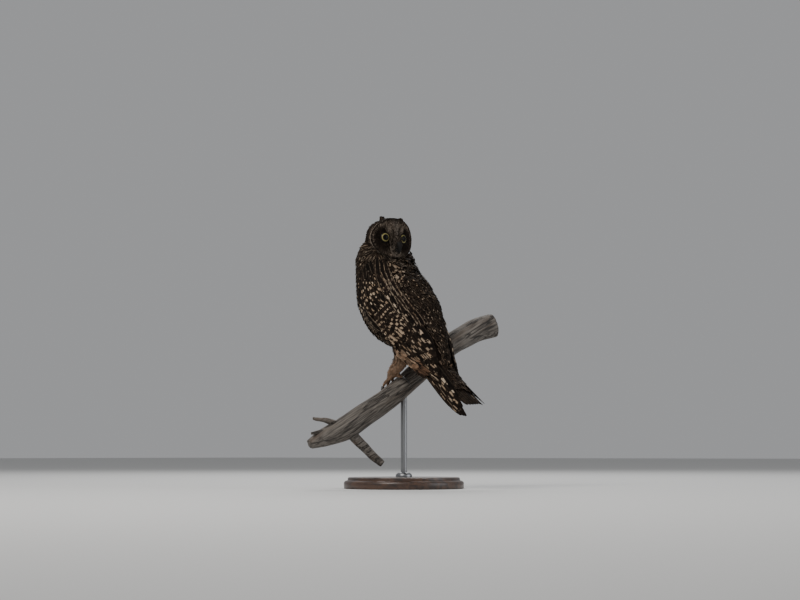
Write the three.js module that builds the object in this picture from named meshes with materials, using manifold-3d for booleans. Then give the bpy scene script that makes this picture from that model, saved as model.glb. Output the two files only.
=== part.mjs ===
// A life-size short-eared owl gripping a cut length of branch, looking back over its shoulder, on a display stand.
// Millimetres, +Z up. The owl's breast faces -Y and its left side is +X.
// The origin is the middle of the stand's underside.
import * as THREE from "three";
import { mergeVertices } from "three/addons/utils/BufferGeometryUtils.js";
import Module from "manifold-3d";

const wasm = await Module();
wasm.setup();

// Sizes shared by several pieces
const GAP = 0.3; // air left between two pieces that touch
const BODY_Y = -8; // the body's drawing is set this far forward of the stand's middle
const BODY_Z = 300; // and its zero height is this far above the floor
const VANE_THICK = 0.55;

// Places a point that is drawn in the body's own frame.
const onBody = (x, y, z) => new THREE.Vector3(x, y + BODY_Y, z + BODY_Z);
const mix = (a, b, t) => a + (b - a) * t;
const smooth = (t) => t * t * (3 - 2 * t);
const bump = (x, width) => Math.exp(-((x / width) ** 2));

// Reads a value at t from rows of [t, value, ...], with smooth steps between the rows.
function track(rows, t, column = 1) {
  if (t <= rows[0][0]) return rows[0][column];
  for (let i = 1; i < rows.length; i++) {
    if (t <= rows[i][0]) {
      const share = (t - rows[i - 1][0]) / (rows[i][0] - rows[i - 1][0]);
      return mix(rows[i - 1][column], rows[i][column], share);
    }
  }
  return rows[rows.length - 1][column];
}

// A repeatable source of small variations.
function seeded(seed) {
  let state = seed;
  return () => {
    state = (state * 1664525 + 1013904223) % 4294967296;
    return state / 4294967296;
  };
}

// Makes a solid from points and triangles, turned so that its faces point out.
function solidFrom(points, triangles) {
  let volume = 0;
  for (const [a, b, c] of triangles) {
    volume += points[a].dot(new THREE.Vector3().crossVectors(points[b], points[c]));
  }
  const vertProperties = new Float32Array(points.flatMap((p) => p.toArray()));
  const turned = volume < 0 ? triangles.map(([a, b, c]) => [a, c, b]) : triangles;
  const triVerts = new Uint32Array(turned.flat());
  return new wasm.Manifold(new wasm.Mesh({ numProp: 3, vertProperties, triVerts }));
}

// Makes a solid from a three.js geometry.
function solidOf(geometry) {
  const bare = geometry.clone();
  bare.deleteAttribute("normal");
  bare.deleteAttribute("uv");
  const merged = mergeVertices(bare, 1e-4);
  const place = merged.attributes.position;
  const points = [];
  for (let i = 0; i < place.count; i++) points.push(new THREE.Vector3().fromBufferAttribute(place, i));
  const triangles = [];
  for (let i = 0; i < merged.index.count; i += 3) {
    const [a, b, c] = [0, 1, 2].map((k) => merged.index.getX(i + k));
    if (a !== b && b !== c && a !== c) triangles.push([a, b, c]);
  }
  return solidFrom(points, triangles);
}

// Joins rings of points, each with as many points, into one solid closed by a fan at each end.
function ringSolid(rings) {
  const sides = rings[0].length;
  const points = rings.flat();
  const triangles = [];
  for (let i = 0; i + 1 < rings.length; i++) {
    for (let j = 0; j < sides; j++) {
      const a = i * sides + j;
      const b = i * sides + ((j + 1) % sides);
      triangles.push([a, b, b + sides], [a, b + sides, a + sides]);
    }
  }
  for (const [ring, flip] of [[0, true], [rings.length - 1, false]]) {
    const centre = new THREE.Vector3();
    rings[ring].forEach((p) => centre.add(p));
    points.push(centre.divideScalar(sides));
    for (let j = 0; j < sides; j++) {
      const a = ring * sides + j;
      const b = ring * sides + ((j + 1) % sides);
      triangles.push(flip ? [b, a, points.length - 1] : [a, b, points.length - 1]);
    }
  }
  return solidFrom(points, triangles);
}

// A thin plate between two grids of points, split alike on both faces.
function plateSolid(top, bottom) {
  const rows = top.length;
  const columns = top[0].length;
  const points = [...top.flat(), ...bottom.flat()];
  const under = rows * columns;
  const at = (i, j) => i * columns + j;
  const triangles = [];
  for (let i = 0; i + 1 < rows; i++) {
    for (let j = 0; j + 1 < columns; j++) {
      const [a, b, c, d] = [at(i, j), at(i, j + 1), at(i + 1, j + 1), at(i + 1, j)];
      triangles.push([a, b, c], [a, c, d]);
      triangles.push([under + a, under + c, under + b], [under + a, under + d, under + c]);
    }
  }
  const rim = [];
  for (let j = 0; j + 1 < columns; j++) rim.push(at(0, j));
  for (let i = 0; i + 1 < rows; i++) rim.push(at(i, columns - 1));
  for (let j = columns - 1; j > 0; j--) rim.push(at(rows - 1, j));
  for (let i = rows - 1; i > 0; i--) rim.push(at(i, 0));
  rim.forEach((a, k) => {
    const b = rim[(k + 1) % rim.length];
    triangles.push([a, under + b, b], [a, under + a, under + b]);
  });
  return solidFrom(points, triangles);
}

// A round or oval tube along a curve. shapeAt(t) gives its half-width and half-depth.
function taperedTube(curve, shapeAt, ringCount, sides, sideways = new THREE.Vector3(1, 0, 0)) {
  const rings = [];
  for (let i = 0; i <= ringCount; i++) {
    const t = i / ringCount;
    const along = curve.getTangentAt(t);
    const deep = new THREE.Vector3().crossVectors(along, sideways).normalize();
    const wide = new THREE.Vector3().crossVectors(deep, along).normalize();
    const [halfWidth, halfDepth] = shapeAt(t);
    const centre = curve.getPointAt(t);
    const ring = [];
    for (let j = 0; j < sides; j++) {
      const angle = (2 * Math.PI * j) / sides;
      ring.push(
        centre
          .clone()
          .addScaledVector(wide, halfWidth * Math.cos(angle))
          .addScaledVector(deep, halfDepth * Math.sin(angle)),
      );
    }
    rings.push(ring);
  }
  return ringSolid(rings);
}

const curveThrough = (points) => new THREE.CatmullRomCurve3(points, false, "centripetal");
const joined = (solids) => wasm.Manifold.union(solids);

// Keeps only the largest closed surface of a solid.
function largest(solid) {
  if (solid.isEmpty()) throw new Error("a solid came out empty");
  const bodies = solid.decompose().sort((a, b) => b.volume() - a.volume());
  return bodies[0];
}

// The body is a row of oval sections, square to its leaning axis, from the neck's top to the rump.
// Each row: y and z of the middle, half-depth from breast to back, half-width over the folded wings.
const BODY_SECTIONS = [
  [-20.5, 84, 40.5, 42.5],
  [-29, 65, 48, 49.5],
  [-28, 42, 51.5, 55],
  [-18, 14, 61, 63],
  [1, -12, 64, 67],
  [24, -35, 57, 64],
  [44, -57, 44, 56],
  [65, -77, 32, 44],
  [84, -97, 20, 32],
  [98, -114, 9, 17],
];
const WING_INSET = 7; // how far the torso's sides lie inside the folded wings
const bodyAxis = curveThrough(BODY_SECTIONS.map(([y, z]) => onBody(0, y, z)));
const BODY_SIDES = 16;
const BODY_RINGS = 12;

// The body's middle, back direction and half-sizes at share t of its sections, grown by extra all round.
function bodySection(t, extra = 0) {
  const along = bodyAxis.getTangent(t);
  const back = new THREE.Vector3(0, -along.z, along.y).normalize();
  const step = t * (BODY_SECTIONS.length - 1);
  const rows = BODY_SECTIONS.map((row, i) => [i, row[2], row[3]]);
  const inset = WING_INSET * smooth(Math.min(1, Math.max(0, (step - 1) / 1.5)));
  return {
    middle: bodyAxis.getPoint(t).addScaledVector(along, t > 0.5 ? extra : -extra),
    back,
    halfDepth: track(rows, step, 1) + extra,
    halfWidth: track(rows, step, 2) - inset * smooth(Math.min(1, (9 - step) / 3)) + extra,
  };
}

function bodySolid(extra) {
  const rings = [];
  for (let i = 0; i <= BODY_RINGS; i++) {
    const { middle, back, halfDepth, halfWidth } = bodySection(i / BODY_RINGS, extra);
    const ring = [];
    for (let j = 0; j < BODY_SIDES; j++) {
      const angle = (2 * Math.PI * j) / BODY_SIDES;
      ring.push(
        middle
          .clone()
          .addScaledVector(back, halfDepth * Math.sin(angle))
          .add(new THREE.Vector3(halfWidth * Math.cos(angle), 0, 0)),
      );
    }
    rings.push(ring);
  }
  return ringSolid(rings);
}

// A large flat block whose lower face passes through a point, square to a direction.
function blockBeyond(point, direction) {
  const size = 400;
  const block = new THREE.BoxGeometry(size, size, size);
  block.translate(0, 0, size / 2);
  const turn = new THREE.Quaternion().setFromUnitVectors(new THREE.Vector3(0, 0, 1), direction);
  block.applyQuaternion(turn);
  block.translate(point.x, point.y, point.z);
  return solidOf(block);
}

// The head is drawn in its own frame, facing -Y, and then turned to look back over the left shoulder.
const HEAD_TURN = THREE.MathUtils.degToRad(166);
const HEAD_MIDDLE = onBody(0, -29, 99);
const FACE_HALF_WIDTH = 41;
const FACE_HALF_HEIGHT = 32.5;
const FACE_DEPTH = 27.5;
const FACE_SWEEP = 17; // how far the face's sides are swept back
const EYE_RADIUS = 9.8;
const EYE_SIDE = 16.3;
const EYE_HEIGHT = 0.5;
const EYE_FORWARD = 15.5;
const EYE_OPENING = 7.7;
const LID_THICK = 1.3;
const HEAD_SIDES = 24;
const headMatrix = new THREE.Matrix4()
  .makeTranslation(HEAD_MIDDLE.x, HEAD_MIDDLE.y, HEAD_MIDDLE.z)
  .multiply(new THREE.Matrix4().makeRotationZ(HEAD_TURN));
const onHead = (solid) => solid.transform(headMatrix.elements);
const eyeMiddle = (side) => new THREE.Vector3(side * EYE_SIDE, -EYE_FORWARD, EYE_HEIGHT);
const eyeLook = (side) => new THREE.Vector3(side * 0.2, -0.975, 0.03).normalize();

// How far forward the face stands at a place: dished round each eye, ridged between them, with a raised rim.
function faceForward(x, z) {
  const reach = Math.hypot(x / FACE_HALF_WIDTH, z / FACE_HALF_HEIGHT);
  const rim = 2.2 * bump(reach - 0.94, 0.1);
  const sweep = FACE_SWEEP * Math.abs(x / FACE_HALF_WIDTH) ** 2.2 + 5 * (z / FACE_HALF_HEIGHT) ** 2;
  const dish = 3.4 * Math.max(
    bump(Math.hypot(x - EYE_SIDE, z - EYE_HEIGHT), 13),
    bump(Math.hypot(x + EYE_SIDE, z - EYE_HEIGHT), 13),
  );
  const ridge = 4 * bump(x, 6) * bump(z + 4, 22);
  return FACE_DEPTH + rim - sweep - dish + ridge;
}

// Behind the face, rows of: share of the face's size, y at the crown and chin, and y at the sides.
const HEAD_BACK_RINGS = [
  [1.02, -20, -8],
  [1.0, -13, -4],
  [0.96, -5, 0.5],
  [0.9, 3, 5.5],
  [0.79, 10, 11.5],
  [0.64, 16, 17],
  [0.44, 21, 21.5],
  [0.2, 24.5, 24.5],
];
const FACE_RINGS = [0.12, 0.32, 0.5, 0.66, 0.8, 0.93, 1.0];

function headForm(extra) {
  const rings = [];
  const squarer = (value) => Math.sign(value) * Math.abs(value) ** 0.9;
  const ringAt = (share, placeY) => {
    const ring = [];
    for (let j = 0; j < HEAD_SIDES; j++) {
      const angle = (2 * Math.PI * j) / HEAD_SIDES;
      const x = FACE_HALF_WIDTH * share * squarer(Math.cos(angle));
      const z = FACE_HALF_HEIGHT * share * squarer(Math.sin(angle));
      const grow = 1 + extra / Math.hypot(x, z);
      ring.push(new THREE.Vector3(x * grow, placeY(x, z, Math.cos(angle) ** 2), z * grow));
    }
    rings.push(ring);
  };
  FACE_RINGS.forEach((share) => ringAt(share, (x, z) => -faceForward(x, z) - extra));
  HEAD_BACK_RINGS.forEach(([share, y, sideY], i) => {
    const outward = i < 4 ? 0 : extra * (i - 3) * 0.3;
    ringAt(share, (x, z, sideways) => mix(y, sideY, sideways) + outward);
  });
  return ringSolid(rings);
}

function eyeBall(side, extra) {
  const ball = new THREE.SphereGeometry(EYE_RADIUS + extra, 16, 9);
  const turn = new THREE.Quaternion().setFromUnitVectors(new THREE.Vector3(0, 1, 0), eyeLook(side));
  ball.applyQuaternion(turn);
  const middle = eyeMiddle(side);
  ball.translate(middle.x, middle.y, middle.z);
  return solidOf(ball);
}

// A ring of lid round each eye, on the ball where the opening is.
function eyeLid(side) {
  const ring = new THREE.TorusGeometry(EYE_OPENING + 0.8, LID_THICK, 6, 16);
  const turn = new THREE.Quaternion().setFromUnitVectors(new THREE.Vector3(0, 0, 1), eyeLook(side));
  ring.applyQuaternion(turn);
  const forward = Math.sqrt(EYE_RADIUS ** 2 - EYE_OPENING ** 2);
  const middle = eyeMiddle(side).addScaledVector(eyeLook(side), forward);
  ring.translate(middle.x, middle.y, middle.z);
  return solidOf(ring);
}

// Both halves of the bill, drawn from the root forward and down to the hooked tip.
const BILL_UPPER = [
  [-22, -3, 6.4, 6.4],
  [-29.5, -3.5, 6.2, 6.2],
  [-34.5, -8, 5.4, 5.2],
  [-37, -14.5, 4.3, 4.2],
  [-36.3, -21.5, 2.8, 2.8],
  [-33.8, -27, 0.7, 0.8],
];
const BILL_LOWER = [
  [-22, -15, 4.6, 3.2],
  [-27, -17, 4.2, 2.6],
  [-30, -20.5, 2.8, 1.8],
  [-31.2, -23.3, 1.2, 0.8],
];
const NOSTRIL = { side: 4.9, y: -32.5, z: -5, radius: 1.3 };

function billHalf(rows, extra) {
  const curve = curveThrough(rows.map(([y, z]) => new THREE.Vector3(0, y, z)));
  const widths = rows.map((row, i) => [i / (rows.length - 1), row[2], row[3]]);
  const shapeAt = (t) => [track(widths, t, 1) + extra, track(widths, t, 2) + extra];
  return taperedTube(curve, shapeAt, 8, 10);
}

function upperBill() {
  const nostrils = [-1, 1].map((side) => {
    const ball = new THREE.SphereGeometry(NOSTRIL.radius, 6, 5);
    ball.translate(side * NOSTRIL.side, NOSTRIL.y, NOSTRIL.z);
    return solidOf(ball);
  });
  return billHalf(BILL_UPPER, 0).subtract(joined(nostrils));
}

// Each ear tuft is a small pad on the crown with short vanes that lean back and outwards.
const TUFT = { side: 16.5, y: -13, z: 28.5, count: 3, length: 9, halfWidth: 2.4 };

function earTuft(side) {
  const pad = new THREE.SphereGeometry(1, 8, 5);
  pad.scale(4.2, 5.5, 2.6);
  pad.translate(side * TUFT.side, TUFT.y, TUFT.z);
  const pieces = [solidOf(pad)];
  for (let k = 0; k < TUFT.count; k++) {
    const spread = k - (TUFT.count - 1) / 2;
    const root = new THREE.Vector3(side * (TUFT.side + spread * 1.6), TUFT.y + 1.4 * spread, TUFT.z - 0.5);
    const lean = new THREE.Vector3(side * (0.22 + 0.2 * spread), 0.42 + 0.2 * spread, 0.86).normalize();
    pieces.push(freeVane(root, lean, new THREE.Vector3(1, 0.3 * side, 0), TUFT.length - k, TUFT.halfWidth, 0.7));
  }
  return joined(pieces);
}

// A short straight vane from a root point, tapering to a point.
function freeVane(root, lean, across, length, halfWidth, thick) {
  const wide = across.clone().addScaledVector(lean, -across.dot(lean)).normalize();
  const out = new THREE.Vector3().crossVectors(lean, wide).normalize();
  const shape = [
    [0, 0.6],
    [0.4, 1],
    [0.75, 0.8],
    [1, 0.22],
  ];
  const face = (height) =>
    shape.map(([t, share]) =>
      [-1, 0, 1].map((e) =>
        root
          .clone()
          .addScaledVector(lean, length * t)
          .addScaledVector(wide, halfWidth * share * e)
          .addScaledVector(out, height * (1 - 0.5 * t) - 0.5 * Math.abs(e)),
      ),
    );
  return plateSolid(face(thick / 2), face(-thick / 2));
}

// A folded wing is drawn on a chart: p runs from the shoulder to the wing's tip, q from its lower edge to the back,
// and h stands off the folded wing's outer face. The chart bends round the body and flattens towards the tip.
class WingChart {
  constructor(side, line, lean) {
    this.side = side;
    this.lean = lean;
    this.curve = curveThrough(line.map(([x, y, z]) => onBody(side * x, y, z)));
    this.curve.arcLengthDivisions = 400;
    this.length = this.curve.getLength();
  }

  at(p, q, h) {
    const t = Math.min(1, Math.max(0, p / this.length));
    const along = this.curve.getTangentAt(t);
    const wantOut = new THREE.Vector3(
      this.side * track(this.lean, p, 1),
      track(this.lean, p, 2),
      track(this.lean, p, 3),
    );
    const out = wantOut.addScaledVector(along, -wantOut.dot(along)).normalize();
    const up = new THREE.Vector3().crossVectors(out, along).multiplyScalar(this.side);
    const bend = track(this.lean, p, 4);
    const angle = q / bend;
    return this.curve
      .getPointAt(t)
      .addScaledVector(along, p - t * this.length)
      .addScaledVector(up, (bend + h) * Math.sin(angle))
      .addScaledVector(out, (bend + h) * Math.cos(angle) - bend);
  }
}

// The left wing hangs a little lower than the tail. The right one is tucked over it.
const WING_LINES = {
  left: [
    [47, -33, 61],
    [58, -22, 36],
    [65, -9, 11],
    [67, 7, -14],
    [64, 27, -40],
    [57, 48, -66],
    [48, 70, -93],
    [42.5, 93, -120],
    [38.5, 114, -146],
    [36, 134, -169],
    [34, 157, -189],
  ],
  right: [
    [46, -37, 60],
    [57, -26, 35],
    [64, -13, 10],
    [66, 3, -14],
    [63, 25, -39],
    [56, 50, -62],
    [47, 75, -83],
    [36, 91, -104],
    [28, 107, -126],
    [21, 136, -145],
    [16, 158, -159],
  ],
};
// Rows of p, the outward direction's x, y and z, and the chart's bend radius.
const WING_LEANS = {
  left: [
    [0, 1, -0.25, 0.1, 50],
    [60, 1, 0.03, 0.06, 58],
    [150, 0.96, 0.16, 0.16, 58],
    [230, 0.93, 0.2, 0.22, 62],
    [319, 0.93, 0.2, 0.22, 80],
  ],
  right: [
    [0, 1, -0.25, 0.1, 50],
    [60, 1, 0.03, 0.06, 58],
    [150, 0.93, 0.2, 0.2, 56],
    [215, 0.72, 0.42, 0.5, 60],
    [315, 0.42, 0.55, 0.7, 80],
  ],
};
// The wing's outline: rows of p, its lower edge and its upper edge.
const WING_OUTLINE = [
  [0, -8, 12],
  [10, -30, 28],
  [25, -48, 38],
  [52, -57, 44],
  [84, -47, 48],
  [112, -35, 50],
  [140, -31, 50],
  [168, -23, 47],
  [192, -15, 43],
  [220, -9, 37],
  [250, -11, 30],
  [275, -12, 24],
  [298, -9, 15],
  [319, -2, 5],
];

// The plain form of a folded wing, grown by extra: one smooth lens out to the tip.
function plainWing(chart, extra = 0) {
  const rows = 18;
  const columns = 8;
  const face = (sign) => {
    const grid = [];
    for (let i = 0; i <= rows; i++) {
      const p = (chart.length * i) / rows;
      const low = track(WING_OUTLINE, p, 1) - extra;
      const high = track(WING_OUTLINE, p, 2) + extra;
      const inside = track([[0, 14], [150, 13], [215, 6], [315, 3]], p);
      const row = [];
      for (let j = 0; j <= columns; j++) {
        const e = (2 * j) / columns - 1;
        const swell = Math.sqrt(Math.max(0, 1 - e * e));
        const h = sign > 0 ? extra - 4 * (1 - swell) : -inside + (inside - 4.6) * (1 - swell) - extra;
        row.push(chart.at(p, mix(low, high, j / columns), h));
      }
      grid.push(row);
    }
    return grid;
  };
  return plateSolid(face(1), face(-1));
}

// One feather's vane on a chart: a thin plate, bowed a little, whose root is sunk in the piece it grows from.
// spec: root and tip as [p, q], halfWidth, height as [root, tip], tilt across, and how round its end is.
const LONG_VANE = [
  [0, 0.75],
  [0.4, 1],
  [0.86, 0.84],
  [1, 0.26],
];
const SHORT_VANE = [
  [0, 0.8],
  [0.5, 1],
  [0.85, 0.8],
  [1, 0.3],
];

function chartVane(place, spec, shape) {
  const { root, tip, halfWidth, height, tilt, rows } = spec;
  const face = (offset) =>
    shape.map(([t, share], i) =>
      [-1, 1].map((e) => {
        const p = rows && i > 0 && i < shape.length - 2 ? rows[i] : mix(root[0], tip[0], t);
        const along = (p - root[0]) / (tip[0] - root[0]);
        const settle = Math.min(1, along / 0.34);
        const level = mix(height[0], height[1], settle) - tilt * e * share;
        return place(p, mix(root[1], tip[1], along) + e * halfWidth * share, level + offset);
      }),
    );
  return plateSolid(face(VANE_THICK / 2), face(-VANE_THICK / 2));
}

// A tier of vanes, evenly spread from its first root and tip to its last. Their middle rows stand side by side,
// so that neighbours bend alike.
function tier(place, spec, shape) {
  const pair = ([first, last], t) => first.map((value, i) => mix(value, last[i], t));
  const meanOf = (pairs) => (pairs[0][0] + pairs[pairs.length - 1][0]) / 2;
  const rows = shape.map(([t]) => mix(meanOf(spec.roots), meanOf(spec.tips), t));
  return Array.from({ length: spec.count }, (_, k) => {
    const t = spec.count > 1 ? k / (spec.count - 1) : 0;
    return chartVane(
      place,
      {
        root: pair(spec.roots, t),
        tip: spec.tips.length > 2 ? spec.tips[k] : pair(spec.tips, t),
        halfWidth: spec.halfWidth,
        height: [ROOT_DEPTH, spec.level + spec.step * k],
        tilt: spec.tilt,
        rows,
      },
      shape,
    );
  });
}

// The tiers of a folded wing, from the lowest layer up. Roots and tips are listed from the lower edge to the back.
const ROOT_DEPTH = -11.5;
const WING_TIERS = [
  {
    name: "primaries",
    count: 5,
    roots: [[128, -4], [156, 12]],
    tips: [[299, -5], [316, -2], [319, 3], [303, 9], [284, 14]],
    halfWidth: 8.2,
    level: -8.2,
    tilt: 1.15,
    step: 0.45,
    long: true,
  },
  {
    name: "secondaries",
    count: 4,
    roots: [[112, -18], [114, 25]],
    tips: [[250, 6], [217, 26]],
    halfWidth: 11,
    level: -5.2,
    tilt: 1.15,
    step: 0.4,
    long: true,
  },
  {
    name: "tertials",
    count: 2,
    roots: [[96, 30], [94, 38]],
    tips: [[222, 23], [203, 31]],
    halfWidth: 9,
    level: -2.6,
    tilt: 0.8,
    step: 0.8,
    long: true,
  },
  {
    name: "primary coverts",
    count: 2,
    roots: [[96, -33], [100, -25]],
    tips: [[166, -13], [174, -7]],
    halfWidth: 7.5,
    level: -6.2,
    tilt: 0.6,
    step: 0.3,
  },
  {
    name: "greater coverts",
    count: 5,
    roots: [[88, -30], [86, 33]],
    tips: [[157, -12], [149, 34]],
    halfWidth: 10.2,
    level: -2.3,
    tilt: 1.15,
    step: 0,
  },
  {
    name: "alula",
    count: 1,
    roots: [[62, -39], [62, -39]],
    tips: [[122, -25], [122, -25]],
    halfWidth: 7,
    level: -2.6,
    tilt: 0.3,
    step: 0,
  },
  {
    name: "median coverts",
    count: 5,
    roots: [[46, -38], [44, 33]],
    tips: [[110, -23], [102, 37]],
    halfWidth: 11.8,
    level: -0.4,
    tilt: 1.15,
    step: 0,
  },
  {
    name: "lesser coverts",
    count: 5,
    roots: [[14, -28], [14, 25]],
    tips: [[68, -41], [62, 34]],
    halfWidth: 11.4,
    level: 1.1,
    tilt: 1.15,
    step: 0,
  },
];
// Scapulars grow along the wing's upper edge and lie over it.
const SCAPULARS = { count: 4, firstRoot: [20, 31], step: [26, 2.6], length: 66, drift: -4, halfWidth: 10 };

// The wing's core: what the vanes grow from, inside the wing's outline and ending under the secondaries.
const BED_DEPTH = -15;
const CORE_END = 182;
const CORE_INSET = 5;
const CORE_OUTER = [
  [0, -3],
  [22, -1.6],
  [45, -2.4],
  [75, -4.4],
  [105, -6.6],
  [140, -9],
  [165, -10.8],
  [182, -11.5],
];

function wingCore(chart) {
  const rows = 7;
  const columns = 4;
  const face = (sign) => {
    const grid = [];
    for (let i = 0; i <= rows; i++) {
      const p = mix(4, CORE_END, i / rows);
      const low = track(WING_OUTLINE, p, 1) + CORE_INSET;
      const high = track(WING_OUTLINE, p, 2) - CORE_INSET;
      const outer = track(CORE_OUTER, p);
      const inner = Math.max(BED_DEPTH + 1, outer - track([[0, 11], [90, 10], [182, 4]], p));
      const row = [];
      for (let j = 0; j <= columns; j++) {
        const e = (2 * j) / columns - 1;
        const swell = 0.2 + 0.8 * Math.sqrt(Math.max(0, 1 - e * e));
        row.push(chart.at(p, mix(low, high, j / columns), mix(mix(outer, inner, 0.35), sign > 0 ? outer : inner, swell)));
      }
      grid.push(row);
    }
    return grid;
  };
  return plateSolid(face(1), face(-1));
}

// The hollow in the body that a folded wing lies in, open outwards.
function wingBed(chart, extra = 0) {
  const rows = 10;
  const columns = 4;
  const face = (h) => {
    const grid = [];
    for (let i = 0; i <= rows; i++) {
      const p = mix(-4 - extra, chart.length + 2 + extra, i / rows);
      const margin = track([[0, 6], [20, 10], [190, 9], [230, 3]], p);
      const low = track(WING_OUTLINE, p, 1) - 3 - extra;
      const high = track(WING_OUTLINE, p, 2) + margin + extra;
      const row = [];
      for (let j = 0; j <= columns; j++) row.push(chart.at(p, mix(low, high, j / columns), h));
      grid.push(row);
    }
    return grid;
  };
  return plateSolid(face(14 + extra), face(BED_DEPTH - extra));
}

function featheredWing(chart) {
  const place = (p, q, h) => chart.at(p, q, h);
  const pieces = [wingCore(chart)];
  for (const spec of WING_TIERS) pieces.push(...tier(place, spec, spec.long ? LONG_VANE : SHORT_VANE));
  const { count, firstRoot, step, length, drift, halfWidth } = SCAPULARS;
  for (let k = 0; k < count; k++) {
    const root = [firstRoot[0] + k * step[0], firstRoot[1] + k * step[1]];
    const tip = [root[0] + length, root[1] + drift];
    const height = [-6, 1.8 - 0.4 * k];
    pieces.push(chartVane(place, { root, tip, halfWidth, height, tilt: 0.4 }, SHORT_VANE));
  }
  return joined(pieces);
}

// The tail's chart: p runs from the rump to the tip, q across it, and h stands off its upper face.
const TAIL_LINE = [
  [66, -94],
  [84, -108],
  [108, -127],
  [134, -148],
  [161, -169],
];
const TAIL_ARCH = 48;
const TAIL_HALF_ROOT = 15;
const TAIL_HALF_TIP = 25;
const tailCurve = curveThrough(TAIL_LINE.map(([y, z]) => onBody(0, y, z)));
const TAIL_LENGTH = tailCurve.getLength();

function tailAt(p, q, h) {
  const t = Math.min(1, Math.max(0, p / TAIL_LENGTH));
  const along = tailCurve.getTangentAt(t);
  const up = new THREE.Vector3(0, -along.z, along.y).normalize();
  return tailCurve
    .getPointAt(t)
    .addScaledVector(along, p - t * TAIL_LENGTH)
    .addScaledVector(up, h - (q * q) / (2 * TAIL_ARCH))
    .add(new THREE.Vector3(q, 0, 0));
}

// The plain form of the tail, grown by extra, also used to keep the wings clear of it.
function plainTail(extra = 0) {
  const rows = 8;
  const columns = 6;
  const face = (sign) => {
    const grid = [];
    for (let i = 0; i <= rows; i++) {
      const t = i / rows;
      const half = mix(TAIL_HALF_ROOT, TAIL_HALF_TIP, smooth(t)) + extra;
      const row = [];
      for (let j = 0; j <= columns; j++) {
        const e = (2 * j) / columns - 1;
        const rounded = TAIL_LENGTH * t - 8 * t * e * e + (t === 1 ? extra : 0);
        const h = sign > 0 ? 0.6 + extra : -mix(11, 6, t) + 1.5 * e * e - extra;
        row.push(tailAt(rounded, half * e, h));
      }
      grid.push(row);
    }
    return grid;
  };
  return plateSolid(face(1), face(-1));
}

// The tail's feathers lie in a stack, the middle pair on top, with short coverts over and under their roots.
const TAIL_FEATHERS = 10;
const TAIL_PITCH = 4.2;
const TAIL_STEP = 0.85;

function featheredTail() {
  const pieces = [tailCore()];
  const rows = LONG_VANE.map(([t]) => mix(20, TAIL_LENGTH - 3, t));
  for (let k = 0; k < TAIL_FEATHERS; k++) {
    const place = k - (TAIL_FEATHERS - 1) / 2;
    const depth = Math.abs(place) - 0.5 + (place < 0 ? 0.5 : 0);
    const tip = [TAIL_LENGTH - 7 * (place / 4.5) ** 2, place * TAIL_PITCH];
    const height = [-6.5, -0.2 - TAIL_STEP * depth];
    const spec = { root: [20, place * 2.4], tip, halfWidth: 6.4, height, tilt: 0, rows };
    pieces.push(chartVane(tailAt, spec, LONG_VANE));
  }
  for (const [height, count, length, spread] of [[1.8, 3, 62, 7], [-10.5, 3, 66, 8]]) {
    for (let k = 0; k < count; k++) {
      const place = k - (count - 1) / 2;
      const tip = [length - 6 * Math.abs(place), place * spread];
      const under = height < 0;
      const level = [-6.5, height + (under ? -0.9 : -0.9) * Math.abs(place)];
      const spec = { root: [8, place * spread * 0.8], tip, halfWidth: 7.5, height: level, tilt: 0.3 };
      pieces.push(chartVane(tailAt, spec, SHORT_VANE));
    }
  }
  return joined(pieces);
}

// What the tail's vanes grow from.
function tailCore() {
  const rows = 3;
  const columns = 4;
  const face = (sign) => {
    const grid = [];
    for (let i = 0; i <= rows; i++) {
      const t = i / rows;
      const row = [];
      for (let j = 0; j <= columns; j++) {
        const e = (2 * j) / columns - 1;
        const swell = 0.3 + 0.7 * Math.sqrt(1 - e * e * 0.96);
        const h = sign > 0 ? mix(-1.5, -5.4, t) : mix(-11, -7.4, t);
        row.push(tailAt(46 * t, mix(16, 13, t) * e, mix(-6.2, h, swell)));
      }
      grid.push(row);
    }
    return grid;
  };
  return plateSolid(face(1), face(-1));
}

// The branch: y, z and x of its middle, and its radius, from its broken low end up to the cut end.
const BRANCH_RADIUS = 17.5;
const BRANCH = [
  [159, -47, -230, 8],
  [139, -41, -221, 14],
  [99, -27.5, -205, 19.5],
  [68, -16.5, -184.5, 19],
  [36, -5.5, -164.5, 17.6],
  [4.5, 6, -141, 17.5],
  [-40.5, 22.5, -102, 17.5],
  [-86, 39, -66.5, 18.2],
  [-109, 48, -53.5, 19],
  [-126, 54.5, -44.5, 19.5],
  [-156, 66, -35.5, 20],
];
const branchCurve = curveThrough(BRANCH.map(([x, y, z]) => onBody(x, y, z)));
const BRANCH_STUB = [
  [92, -25, -208, 10],
  [84, -20, -221, 9],
  [70, -11, -237, 8],
  [58, -3, -251, 7.5],
  [48, 4, -261, 6],
];
const BRANCH_LOW_TWIG = [
  [114, -30, -206, 7],
  [138, -36, -210, 4.5],
  [160, -43, -214, 2.4],
];
const BRANCH_SPLINTER = [
  [108, -30, -203, 7],
  [127, -37, -195, 5],
  [153, -46, -191, 2.6],
];

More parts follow.
